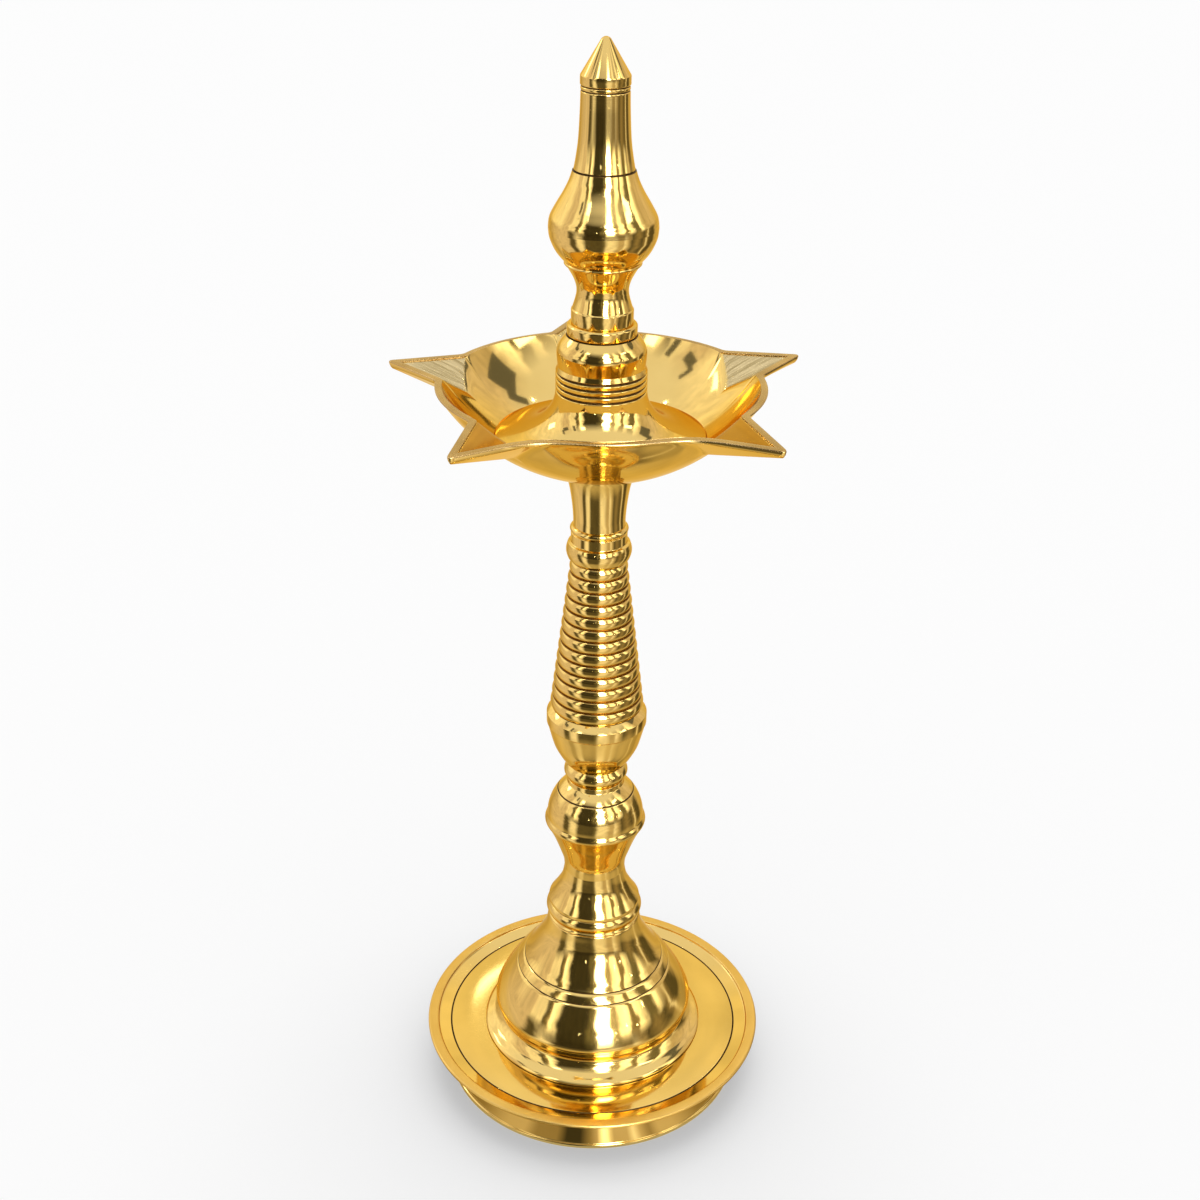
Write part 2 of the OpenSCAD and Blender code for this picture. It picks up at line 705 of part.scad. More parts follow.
module finial_waist() {
    lip_z = fin_waist_h - fin_lip_t;
    color(brass) translate([0, 0, waist_foot_z]) difference() {
        turned(concat(
            [[fin_band_r, 0], [fin_band_r, fin_band_h]],
            curve([[fin_band_r - edge_break, fin_band_h + edge_break], [fin_waist_r, fin_waist_z],
                [fin_waist_r + 0.18 * (fin_lip_r - fin_waist_r), fin_waist_z + 0.46 * (lip_z - fin_waist_z)],
                [fin_lip_r - 2 * edge_break, lip_z]]),
            bow([fin_lip_r - edge_break, lip_z], [fin_lip_r - edge_break, fin_waist_h], edge_break)));
        hole(pin_hole_r, -cut_past, fin_waist_h + 2 * cut_past);
    }
}

module finial_bulb() {
    low = between([bulb_foot_r, 0], [bulb_r, bulb_z], [[0, 0], [0.26, 0.12], [0.62, 0.36], [0.92, 0.7], [1, 1]]);
    high = between([bulb_r, bulb_z], [bulb_top_r, bulb_h],
        [[0, 0], [0.06, 0.18], [0.3, 0.38], [0.62, 0.61], [0.85, 0.81], [1, 1]]);
    color(brass) translate([0, 0, bulb_foot_z]) difference() {
        turned(concat(curve(low), curve(high)));
        hole(pin_hole_r, -cut_past, bulb_h + 2 * cut_past);
    }
}

module finial_spire() {
    cap_z = spire_h - cap_h;
    cone_z = cap_z + cap_band_h;
    groove = 2 * line_r;
    lean = atan((cap_r - point_r) / (spire_h - cone_z - point_r));
    color(brass) translate([0, 0, spire_z]) difference() {
        turned(concat(
            [[bulb_top_r - edge_break, 0]],
            curve(between([bulb_top_r - edge_break, edge_break], [spire_r, cap_z - 4 * groove],
                [[0, 0], [0.34, 0.16], [0.7, 0.4], [0.92, 0.75], [1, 1]])),
            [[spire_r, cap_z - 3 * groove], [spire_r - line_r, cap_z - 2.5 * groove], [spire_r, cap_z - 2 * groove]],
            [[spire_r, cap_z - groove], [spire_r - line_r, cap_z - groove / 2], [cap_r, cap_z], [cap_r, cone_z]],
            arc([0, spire_h - point_r], point_r, lean, point_angle)));
        hole(pin_hole_r, -cut_past, pin_hole + cut_past);
    }
}

module finial_rod() {
    length = spire_z + pin_engage - (hub_collar_z - pin_engage);
    color(brass_pale) translate([0, 0, hub_collar_z - pin_engage])
        stud(pin_d, length, pin_pitch, pin_engage, pin_engage);
}

base_tray();
base_bell();
base_strap();
base_rod();
base_washer();
base_nut();
base_collar();
lower_stem();
stem_stud();
stem_bead();
ribbed_stem();
bowl_stud();
bowl_washer();
oil_bowl();
bowl_gasket();
hub();
hub_collar();
finial_waist();
finial_bulb();
finial_spire();
finial_rod();
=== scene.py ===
"""Looks of a standing oil lamp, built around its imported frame: turned brass pieces, a bowl with beak
spouts, threaded studs, a pale studio floor and the photograph's camera. Sizes of the lamp and the camera
are in millimetres until a mesh is made or the camera is placed, and those of the studio are in metres."""

import math

import bpy
from mathutils import Matrix, Vector


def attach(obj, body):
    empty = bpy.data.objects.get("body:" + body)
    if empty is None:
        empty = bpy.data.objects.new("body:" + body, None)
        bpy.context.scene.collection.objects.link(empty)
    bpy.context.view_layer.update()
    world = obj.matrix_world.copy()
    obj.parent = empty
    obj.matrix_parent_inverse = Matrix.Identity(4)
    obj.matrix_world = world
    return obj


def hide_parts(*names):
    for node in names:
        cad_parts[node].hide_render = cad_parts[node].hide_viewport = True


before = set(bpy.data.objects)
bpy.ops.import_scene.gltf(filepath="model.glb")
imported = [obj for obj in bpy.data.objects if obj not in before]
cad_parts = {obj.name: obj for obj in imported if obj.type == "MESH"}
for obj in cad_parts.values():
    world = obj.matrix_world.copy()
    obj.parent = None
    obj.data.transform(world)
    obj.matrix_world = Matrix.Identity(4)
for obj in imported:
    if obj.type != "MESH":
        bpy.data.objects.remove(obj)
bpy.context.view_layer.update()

MM = 0.001
FULL_TURN = 2 * math.pi

# Meshes: segments round a turned piece, steps along a curve, and the distance under which two points are one
SEGMENTS = 180
CURVE_STEPS = 10
SAME_POINT = 1e-6
# Softened corners: the least turn that is rounded, the most of an edge that a rounding takes, and its steps
CORNER_TURN = math.radians(24)
CORNER_SHARE = 0.42
CORNER_STEPS = 4

# Threads: radius and pitch of the stem's studs and of the finial's rod, and how far they screw in
STUD_R = 5.0
STUD_PITCH = 1.5
STUD_ENGAGE = 12.0
PIN_R = 4.0
PIN_PITCH = 1.25
PIN_ENGAGE = 10.0
# Their holes as (radius, depth)
THREAD_GAP = 0.08
BLIND_ROOM = 2.0
STUD_HOLE = (STUD_R + THREAD_GAP, STUD_ENGAGE + BLIND_ROOM)
PIN_HOLE = (PIN_R + THREAD_GAP, PIN_ENGAGE + BLIND_ROOM)
# Form of a thread: segments round it, rows of points to a pitch, its depth as a share of the pitch, and the
# slope and root of its flanks
THREAD_SEGMENTS = 72
THREAD_ROWS = 10
THREAD_DEPTH = 0.55
FLANK_SLOPE = 1.35
FLANK_ROOT = 0.1

# Levels of the stack
NUT_FOOT = 3.9
TRAY_FLOOR = 20.1
BELL_TOP = 79.1
LOWER_FOOT = 86.6
BEAD_FOOT = 150.5
STEM_FOOT = 158.1
BOWL_FOOT = 293.4
HUB_SEAT = 297.3
HUB_TOP = 348.2
WAIST_FOOT = 352.9
BULB_FOOT = 376.6
SPIRE_FOOT = 410.3
LAMP_TOP = 457.0

# Bowl: radius and level of its rim, radius and middle of the ball that its outside follows, and its wall
RIM_R = 63.9
RIM_Z = 328.8
BALL_R = 74.39
BALL_Z = 366.89
WALL = 2.4
IN_R = BALL_R - WALL


def at_angle(r, angle, z):
    """Point at a distance from the axis, an angle round it and a level."""
    return (r * math.cos(angle), r * math.sin(angle), z)


def spline(a, b, c, d, t):
    """Point at share t between b and c on a smooth curve through a, b, c and d."""
    return tuple(
        0.5 * (2 * q + (r - p) * t + (2 * p - 5 * q + 4 * r - s) * t * t + (3 * q - p - 3 * r + s) * t ** 3)
        for p, q, r, s in zip(a, b, c, d)
    )


def curve(points, steps=CURVE_STEPS):
    """Smooth curve through points."""
    last = len(points) - 1
    out = []
    for i in range(last):
        ends = (points[max(i - 1, 0)], points[i], points[i + 1], points[min(i + 2, last)])
        out += [spline(*ends, j / steps) for j in range(steps)]
    return out + [points[last]]


def between(a, b, shape):
    """Points between a and b, where shape gives shares of the way across and of the way up."""
    return [(a[0] + (b[0] - a[0]) * s, a[1] + (b[1] - a[1]) * t) for s, t in shape]


def bow(r, low, high, out, steps=14):
    """Round bulge at radius r between two levels, standing out in the middle."""
    turns = [i / steps for i in range(steps + 1)]
    return [(r + out * math.sin(math.pi * t), low + (high - low) * t) for t in turns]


def arc(z, radius, start, end, steps=24):
    """Arc round a centre on the axis, from one angle above the level to another."""
    angles = [math.radians(start + (end - start) * i / steps) for i in range(steps + 1)]
    return [(radius * math.cos(a), z + radius * math.sin(a)) for a in angles]


def notch(points, z, width, depth):
    """Cuts a fine line of a given width and depth into a rising outline at level z."""
    low, high = z - width / 2, z + width / 2

    def radius_at(level):
        for (r0, z0), (r1, z1) in zip(points, points[1:]):
            if z0 <= level <= z1 and z1 > z0:
                return r0 + (r1 - r0) * (level - z0) / (z1 - z0)
        raise ValueError("the outline does not reach that level")

    below = [p for p in points if p[1] < low]
    above = [p for p in points if p[1] > high]
    cut = [(radius_at(low), low), (radius_at(z) - depth, z), (radius_at(high), high)]
    return below + cut + above


def soften(points, radius, closed):
    """Rounds every sharp corner of an outline."""
    out = []
    count = len(points)
    for i, p in enumerate(points):
        if not closed and i in (0, count - 1):
            out.append(p)
            continue
        here = Vector(p)
        back = Vector(points[i - 1]) - here
        ahead = Vector(points[(i + 1) % count]) - here
        if back.length < SAME_POINT or ahead.length < SAME_POINT:
            continue
        if math.pi - back.angle(ahead) < CORNER_TURN:
            out.append(p)
            continue
        reach = min(radius, CORNER_SHARE * back.length, CORNER_SHARE * ahead.length)
        start = here + back.normalized() * reach
        end = here + ahead.normalized() * reach
        for step in range(CORNER_STEPS + 1):
            t = step / CORNER_STEPS
            q = start * (1 - t) ** 2 + here * 2 * t * (1 - t) + end * t ** 2
            out.append((q.x, q.y))
    return out


def add_object(name, verts, faces, sharp_deg=40):
    """Smooth mesh object from points in millimetres, with creases where faces meet at a sharp angle."""
    mesh = bpy.data.meshes.new(name)
    mesh.from_pydata([Vector(v) * MM for v in verts], [], faces)
    mesh.validate()
    mesh.shade_smooth()
    mesh.set_sharp_from_angle(angle=math.radians(sharp_deg))
    piece = bpy.data.objects.new(name, mesh)
    bpy.context.collection.objects.link(piece)
    return piece


def spun(name, outline, closed, segments=SEGMENTS):
    """Surface turned from an outline of (radius, level), whose end joins its start if it is closed."""
    verts, rings = [], []
    for r, z in outline:
        start = len(verts)
        if r < SAME_POINT:
            verts.append((0, 0, z))
            rings.append([start] * segments)
        else:
            verts += [at_angle(r, FULL_TURN * k / segments, z) for k in range(segments)]
            rings.append(list(range(start, start + segments)))
    faces = []
    pairs = list(zip(rings, rings[1:]))
    if closed:
        pairs.append((rings[-1], rings[0]))
    for low, high in pairs:
        for k in range(segments):
            n = (k + 1) % segments
            corners = [low[k], low[n], high[n], high[k]]
            face = [c for i, c in enumerate(corners) if c not in corners[:i]]
            if len(face) > 2:
                faces.append(face)
    return add_object(name, verts, faces)


def dress(piece, body, node, slot, *materials):
    """Puts a piece in a node's place on its body."""
    for material in materials:
        piece.data.materials.append(material)
    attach(piece, body)
    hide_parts(node)
    return piece


def polished(node, body, outline, edge, closed):
    """Polished piece turned from an outline with softened corners."""
    piece = spun(node + "_look", soften(outline, edge, closed), closed)
    return dress(piece, body, node, "polished_brass", POLISHED)


def turned(node, body, outer, edge=0.35, low=None, high=None, through=None):
    """Polished piece with blind holes (radius, depth) in its ends, or a hole of one radius right through."""
    foot, top = outer[0][1], outer[-1][1]
    if through:
        return polished(node, body, [(through, foot)] + outer + [(through, top)], edge, True)
    start = [(0, foot + low[1]), (low[0], foot + low[1]), (low[0], foot)] if low else [(0, foot)]
    end = [(high[0], top), (high[0], top - high[1]), (0, top - high[1])] if high else [(0, top)]
    return polished(node, body, start + outer + end, edge, False)


def threaded(node, body, foot, top, radius, pitch, low, high):
    """Stud with a right-hand thread of a given length at each end and a plain shank between."""
    # Rounded, so that a whole number of rows stays whole
    length = round(top - foot, 6)
    deep = pitch * THREAD_DEPTH
    step = pitch / THREAD_ROWS
    rows = int(length / step) + 1
    verts = [(0, 0, foot)]
    for i in range(rows):
        z = min(i * step, length)
        cut = z < low or z > length - high
        end = max(0, 1 - min(z, length - z) / deep)
        for k in range(THREAD_SEGMENTS):
            turn = k / THREAD_SEGMENTS
            share = abs(((z / pitch - turn) % 1) * 2 - 1)
            ridge = min(1, max(0, FLANK_SLOPE * share - FLANK_ROOT))
            r = radius - deep * (1 - ridge) * cut
            r = min(r, radius - deep * end)
            verts.append(at_angle(r, FULL_TURN * turn, foot + z))
    tip = len(verts)
    verts.append((0, 0, foot + length))
    last = 1 + (rows - 1) * THREAD_SEGMENTS
    faces = []
    for k in range(THREAD_SEGMENTS):
        n = (k + 1) % THREAD_SEGMENTS
        faces.append((0, 1 + n, 1 + k))
        faces.append((tip, last + k, last + n))
        for i in range(rows - 1):
            a = 1 + i * THREAD_SEGMENTS
            b = a + THREAD_SEGMENTS
            faces.append((a + k, a + n, b + n, b + k))
    piece = add_object(node + "_look", verts, faces, sharp_deg=60)
    return dress(piece, body, node, "cut_brass", CUT)


def refinish(piece, test, material):
    """Gives another finish to the faces whose middle, as (radius, level), passes a test."""
    piece.data.materials.append(material)
    last = len(piece.data.materials) - 1
    for face in piece.data.polygons:
        middle = face.center / MM
        if test(math.hypot(middle.x, middle.y), middle.z):
            face.material_index = last


class Nodes:
    """Short way to wire a material's nodes."""

    # Sockets of a Mix node for its two colours and its result
    MIX_A, MIX_B, MIX_OUT = 6, 7, 2

    def __init__(self, name):
        self.material = bpy.data.materials.new(name)
        self.material.use_nodes = True
        self.tree = self.material.node_tree
        self.tree.nodes.clear()

    def put(self, socket, value):
        """Links an output to a socket, or sets the socket's own value."""
        if isinstance(value, bpy.types.NodeSocket):
            self.tree.links.new(value, socket)
        else:
            socket.default_value = value

    def add(self, kind, **values):
        """New node, with what goes to its inputs by their names, where _ stands for a space."""
        node = self.tree.nodes.new("ShaderNode" + kind)
        for key, value in values.items():
            self.put(node.inputs[key.replace("_", " ")], value)
        return node

    def math(self, operation, a, b=0.0):
        """Result of a sum or another operation on one or two values."""
        node = self.add("Math")
        node.operation = operation
        self.put(node.inputs[0], a)
        self.put(node.inputs[1], b)
        return node.outputs[0]

    def shift(self, fac, low, high):
        """Value from low to high as fac goes from 0 to 1."""
        spread = self.math("MULTIPLY", fac, high - low)
        return self.math("ADD", spread, low)

    def ramp(self, fac, *stops):
        """Colours at places from 0 to 1, with even changes between them."""
        node = self.add("ValToRGB", Fac=fac)
        elements = node.color_ramp.elements
        while len(elements) < len(stops):
            elements.new(0.5)
        for element, (place, colour) in zip(elements, stops):
            element.position = place
            element.color = (*colour, 1)
        return node.outputs[0]

    def mask(self, fac, *stops):
        """Values at places from 0 to 1, with even changes between them."""
        return self.ramp(fac, *[(place, (value, value, value)) for place, value in stops])

    def patches(self, noise, deep, bright):
        """Colour from deep to bright over the middle of a noise's range."""
        return self.ramp(noise, (0.3, deep), (0.7, bright))

    def round_tones(self, fac, tones):
        """Tones given by degrees round a full turn, where fac goes from 0 to 1."""
        return self.ramp(fac, *[(degrees / 360, tone) for degrees, tone in tones])

    def mix(self, fac, a, b):
        """Colour from a to b as fac goes from 0 to 1."""
        node = self.add("Mix")
        node.data_type = "RGBA"
        self.put(node.inputs[0], fac)
        for index, value in ((self.MIX_A, a), (self.MIX_B, b)):
            linked = isinstance(value, bpy.types.NodeSocket)
            self.put(node.inputs[index], value if linked else (*value, 1))
        return node.outputs[self.MIX_OUT]

    def tint(self, colour, amount):
        """Colour times an amount."""
        node = self.add("VectorMath")
        node.operation = "SCALE"
        self.put(node.inputs[0], colour)
        self.put(node.inputs["Scale"], amount)
        return node.outputs[0]

    def place(self):
        """Object coordinates."""
        return self.add("TexCoord").outputs["Object"]

    def polar(self, place):
        """Distance from the axis, angle round it and level of a place."""
        x, y, z = self.add("SeparateXYZ", Vector=place).outputs
        squares = self.math("ADD", self.math("MULTIPLY", x, x), self.math("MULTIPLY", y, y))
        return self.math("SQRT", squares), self.math("ARCTAN2", y, x), z

    def lathe_vector(self, round_share):
        """Object coordinates as (radius, level, a little of the way round), for marks that run round."""
        radius, angle, z = self.polar(self.place())
        around = self.math("MULTIPLY", angle, round_share)
        return self.add("CombineXYZ", X=radius, Y=z, Z=around).outputs[0]

    def stretched(self, vector, scale, turn=(0, 0, 0)):
        """Coordinates turned and scaled, so that marks come out long."""
        return self.add("Mapping", Vector=vector, Rotation=turn, Scale=scale).outputs[0]

    def noise(self, vector, scale, detail, rough):
        """Cloudy values round 0.5."""
        node = self.add("TexNoise", Vector=vector, Scale=scale, Detail=detail, Roughness=rough)
        return node.outputs[0]

    def bump(self, height, strength, distance):
        """Normal of a surface with fine marks of a height in metres."""
        return self.add("Bump", Strength=strength, Distance=distance, Height=height).outputs[0]

    def surface(self, shader):
        """Ends the material with a shader."""
        self.add("OutputMaterial", Surface=shader.outputs[0])
        return self.material


# Tint of the brass where it is seen edge on
EDGE_TINT = (0.88, 0.7, 0.38, 1)


def brass(name, deep, bright, rough, marks):
    """Turned brass: rings left by the tool, cloudy polish, slanting scratches and a few dull specks."""
    n = Nodes(name)
    place = n.place()
    rings = n.noise(n.lathe_vector(0.0015), scale=2600, detail=3.0, rough=0.6)
    cloud = n.noise(place, scale=38, detail=3.0, rough=0.55)
    specks = n.noise(place, scale=900, detail=1.0, rough=0.5)
    slant = n.stretched(place, scale=(1, 1, 0.03), turn=(0.3, 0.9, 0.2))
    scratches = n.noise(slant, scale=700, detail=1.0, rough=0.4)
    speck = n.mask(specks, (0.70, 0), (0.76, 1))
    scratch = n.mask(scratches, (0.66, 0), (0.70, 1))
    ringed = n.math("ADD", n.shift(cloud, *rough), n.math("MULTIPLY", rings, 0.04))
    height = n.math("SUBTRACT", rings, n.math("MULTIPLY", scratch, 0.35))
    return n.surface(n.add(
        "BsdfPrincipled", Metallic=1.0, Specular_Tint=EDGE_TINT,
        Base_Color=n.patches(cloud, deep, bright),
        Roughness=n.math("ADD", ringed, n.math("MULTIPLY", speck, 0.1)),
        Normal=n.bump(height, strength=marks, distance=0.00002),
    ))


def ground_brass(name, deep, bright, rough):
    """Duller faces with a fine grain: ground and satin brass, and darker copies that paint the deep
    reflection in the front troughs and the shade in grooves, seams and rib crevices.
    """
    n = Nodes(name)
    place = n.place()
    grain = n.noise(place, scale=1500, detail=3.0, rough=0.65)
    patch = n.noise(place, scale=60, detail=2.0, rough=0.5)
    return n.surface(n.add(
        "BsdfPrincipled", Metallic=1.0,
        Base_Color=n.patches(patch, deep, bright),
        Roughness=n.shift(grain, *rough),
        Normal=n.bump(grain, strength=0.1, distance=0.00004),
    ))


def filed_brass(name, deep, bright, rough):
    """Trough faces with the lines of a file running along them."""
    n = Nodes(name)
    along = n.stretched(n.lathe_vector(0.065), scale=(0.03, 0.1, 1))
    lines = n.noise(along, scale=1400, detail=3.0, rough=0.6)
    return n.surface(n.add(
        "BsdfPrincipled", Metallic=1.0,
        Base_Color=n.patches(lines, deep, bright),
        Roughness=n.shift(lines, *rough),
        Normal=n.bump(lines, strength=0.4, distance=0.00006),
    ))


def plated_steel(name, deep, bright, rough):
    """Zinc-plated steel with a faint spangle."""
    n = Nodes(name)
    spangle = n.noise(n.place(), scale=420, detail=3.0, rough=0.6)
    return n.surface(n.add(
        "BsdfPrincipled", Metallic=1.0,
        Base_Color=n.patches(spangle, deep, bright),
        Roughness=n.shift(spangle, *rough),
    ))


def oiled_leather(name, deep, bright, rough):
    """Leather washer, dark with oil, with a fine grain."""
    n = Nodes(name)
    grain = n.noise(n.place(), scale=1100, detail=4.0, rough=0.6)
    return n.surface(n.add(
        "BsdfPrincipled",
        Base_Color=n.patches(grain, deep, bright),
        Roughness=n.shift(grain, *rough),
        Normal=n.bump(grain, strength=0.3, distance=0.0001),
    ))


# Each material has its deep and bright colour and the range of its roughness
POLISHED = brass("polished_brass", (0.82, 0.6, 0.2), (0.87, 0.65, 0.23), (0.03, 0.08), marks=0.14)
CUT = brass("cut_brass", (0.7, 0.48, 0.16), (0.8, 0.58, 0.22), (0.2, 0.32), marks=0.3)
GROUND = ground_brass("ground_brass", (0.44, 0.3, 0.12), (0.6, 0.43, 0.19), (0.2, 0.34))
SATIN = ground_brass("satin_brass", (0.76, 0.51, 0.14), (0.82, 0.57, 0.17), (0.24, 0.36))
# Darker orange brass that paints the deep reflection inside the front spouts' troughs
TROUGH_REFLECTION = ground_brass("trough_reflection_brass", (0.46, 0.23, 0.012), (0.58, 0.31, 0.02), (0.12, 0.2))
# Near-black brass that paints the shade in grooves, scribed lines and the seams between pieces
PAINTED_SHADE = ground_brass("painted_shade_brass", (0.05, 0.028, 0.008), (0.11, 0.062, 0.02), (0.4, 0.6))
# Brown brass that paints the shade in the crevices between the stem's ribs
CREVICE_SHADE = ground_brass("crevice_shade_brass", (0.2, 0.11, 0.03), (0.32, 0.18, 0.05), (0.3, 0.5))
FILED = filed_brass("filed_brass", (0.42, 0.33, 0.15), (0.84, 0.71, 0.4), (0.2, 0.36))
STEEL = plated_steel("zinc_steel", (0.5, 0.51, 0.53), (0.68, 0.69, 0.7), (0.26, 0.48))
LEATHER = oiled_leather("washer_leather", (0.09, 0.045, 0.02), (0.2, 0.11, 0.05), (0.45, 0.7))

# Base tray: hollow foot ring, flat satin rim with a small bevel inside it, and flat floor with a fine line
TRAY_R = 75.6
TRAY_EDGE_R = 0.9
TRAY_EDGE_Z = 21.5
TRAY_UNDER = 17.1
TRAY_HOLE_R = 35.0
FOOT_RING = (61.7, 65.5)
RIM_BAND_R = 71.0
RIM_BAND_Z = 21.4
FLOOR_LINE = ((64.7, 65.5), (19.5, 20.08))
tray = (
    [(FOOT_RING[0], 0), (FOOT_RING[1], 0), (FOOT_RING[1], 1.8)]
    + [(64.7, 2.2), (65.9, TRAY_UNDER), (66.3, 17.5)]
    + [(TRAY_R - TRAY_EDGE_R + r, z) for r, z in arc(TRAY_EDGE_Z, TRAY_EDGE_R, -90, 90, 12)]
    + [(71.1, 22.4), (70.6, 21.3), (65.4, TRAY_FLOOR), (65.1, 19.7), (64.7, TRAY_FLOOR)]
    + [(TRAY_HOLE_R, TRAY_FLOOR), (TRAY_HOLE_R, TRAY_UNDER), (61.3, TRAY_UNDER), (FOOT_RING[0], 16.7)]
)


def on_rim_band(r, z):
    """True on the flat band of the tray's rim."""
    return RIM_BAND_R < r < TRAY_R and z > RIM_BAND_Z


def on_floor_line(r, z):
    """True in the fine line round the tray's floor, where shade is painted."""
    (near, far), (low, high) = FLOOR_LINE
    return near < r < far and low < z < high


tray_piece = polished("base_tray", "base", tray, 0.5, True)
refinish(tray_piece, on_rim_band, SATIN)
# Painted shade in the fine line round the floor
refinish(tray_piece, on_floor_line, PAINTED_SHADE)

# Base bell: hollow, with an ogee foot, a crease, a belly and two scribed lines
BELL_FOOT = (49.1, 21.0)
BELL_CREASE = (41.4, 28.3)
BELL_BELLY = (44.2, 34.1)
BELL_NECK = (20.2, 78.7)
BELL_WALL = 3.2
BELL_ROOF = 67.1
BELL_MOUTH_R = 38.2
BELL_LINES = (52.7, 56.5)
LINE_HALF = 0.45
LINE_DEPTH = 0.4
# How far below a line's middle its painted shade reaches, and the levels below and above which shade is
# painted at the bell's foot and top
LINE_BRIGHT = 0.25
BELL_SEAMS = (TRAY_FLOOR + 0.4, BELL_TOP - 0.1)
ogee = between(BELL_FOOT, BELL_CREASE, [(0, 0), (0.15, 0.13), (0.55, 0.36), (0.9, 0.75), (1, 1)])
tuck = [BELL_CREASE, (43.27, 31.2), BELL_BELLY]
bell_points = between(
    BELL_BELLY, BELL_NECK,
    [(0, 0), (0.02, 0.055), (0.17, 0.22), (0.43, 0.43), (0.67, 0.59), (0.91, 0.82), (1, 1)],
)
bell_side = curve(bell_points)
for line in BELL_LINES:
    bell_side = notch(bell_side, line, 2 * LINE_HALF, LINE_DEPTH)
bell_inside = [(r - BELL_WALL, z) for r, z in curve(bell_points, 3) if z < BELL_ROOF]
bell = (
    [(BELL_FOOT[0], TRAY_FLOOR)] + curve(ogee) + curve(tuck)[1:] + bell_side[1:]
    + [(19.8, BELL_TOP), (STUD_HOLE[0], BELL_TOP), (STUD_HOLE[0], BELL_ROOF), (17, BELL_ROOF)]
    + bell_inside[::-1] + [(BELL_MOUTH_R, BELL_BELLY[1]), (BELL_MOUTH_R, TRAY_FLOOR)]
)


def on_bell_line(r, z):
    """True where shade is painted: at the bell's foot, its top and the upper sides of its two scribed lines.
    """
    if z < BELL_SEAMS[0] or z > BELL_SEAMS[1]:
        return True
    return any(-LINE_BRIGHT < z - line < LINE_HALF for line in BELL_LINES)


bell_piece = polished("base_bell", "base", bell, 0.35, True)
# Painted shade in the seams at the foot and top and on the upper sides of the scribed lines
refinish(bell_piece, on_bell_line, PAINTED_SHADE)

# Base collar: thin lip, groove and round ring
collar = bow(20.1, BELL_TOP, BELL_TOP + 1.3, 0.4, 6) + bow(19.7, BELL_TOP + 1.7, LOWER_FOOT, 1.4)
turned("base_collar", "collar", collar, through=STUD_HOLE[0])

# Lower stem: trumpet foot, waist, raised edge and ball with a scribed line
STEM_WAIST = (13.2, 104.3)
STEM_SEAM = LOWER_FOOT + 0.3
STEM_BALL_Z = 131.6
STEM_BALL_R = 20.8
BALL_LINE = 144.5
BALL_LINE_HALF = 0.25
trumpet = between((20.0, 88.4), STEM_WAIST, [(0, 0), (0.4, 0.26), (0.82, 0.62), (1, 1)])
rise = between(STEM_WAIST, (21.0, 127.8), [(0, 0), (0.06, 0.2), (0.27, 0.42), (0.63, 0.74), (1, 1)])
lower = (
    [(19.6, LOWER_FOOT), (20.0, LOWER_FOOT + 0.4)] + curve(trumpet) + curve(rise)[1:]
    + bow(21.4, 128.2, 130.8, 0.4, 8)
    + notch(arc(STEM_BALL_Z, STEM_BALL_R, 0, 54.4), BALL_LINE, 2 * BALL_LINE_HALF, 0.25)
    + [(12.1, BEAD_FOOT)]
)


def on_lower_line(r, z):
    """True where shade is painted: at the lower stem's foot and in the line round its ball."""
    return z < STEM_SEAM or abs(z - BALL_LINE) < BALL_LINE_HALF


lower_piece = turned("lower_stem", "lower", lower, low=STUD_HOLE, high=STUD_HOLE)
# Painted shade in the seam at the foot and in the line round the ball
refinish(lower_piece, on_lower_line, PAINTED_SHADE)

# Bead between the stems
turned("stem_bead", "bead", bow(11.6, BEAD_FOOT, STEM_FOOT, 2.0, 18), through=STUD_HOLE[0])

# Ribbed stem: cup, wide ring, tapering ribs, band, neck ring and flared neck with a seat for a washer
RIBS = 13
RIB_PITCH = 5.2
RIB_LOW = (19.5, 188.6)
RIB_HIGH_R = 11.9
RIB_DEPTH = 1.0
RIB_STEPS = 8
RIB_ROUND = (RIB_DEPTH ** 2 + RIB_PITCH ** 2 / 4) / (2 * RIB_DEPTH)
RIB_FOOT = RIB_LOW[1] - RIB_PITCH / 2
# Half width of the painted shade round the bottom of each crevice, and how far past the end ribs it goes, as
# a share of a rib
CREVICE_HALF = 0.22
CREVICE_PAST = 0.1
BAND_FOOT = RIB_LOW[1] + (RIBS - 1) * RIB_PITCH + RIB_PITCH * 0.8
NECK_FOOT = BAND_FOOT + 14.0
WASHER_R = 9.8
WASHER_DEEP = 1.2
cup = between(
    (12.2, STEM_FOOT), (20.7, 178.3),
    [(0, 0), (0.2, 0.11), (0.48, 0.31), (0.7, 0.51), (0.91, 0.83), (1, 1)],
)
ribs = []
for i in range(RIBS):
    peak = RIB_LOW[0] + (RIB_HIGH_R - RIB_LOW[0]) * i / (RIBS - 1)
    middle = RIB_LOW[1] + i * RIB_PITCH
    for k in range(-RIB_STEPS, RIB_STEPS + 1):
        up = RIB_PITCH / 2 * k / RIB_STEPS
        ribs.append((peak - RIB_ROUND + math.sqrt(RIB_ROUND ** 2 - up ** 2), middle + up))
neck = between(
    (10.5, NECK_FOOT), (14.8, BOWL_FOOT),
    [(0, 0), (0.01, 0.16), (0.13, 0.4), (0.36, 0.67), (0.66, 0.87), (1, 1)],
)
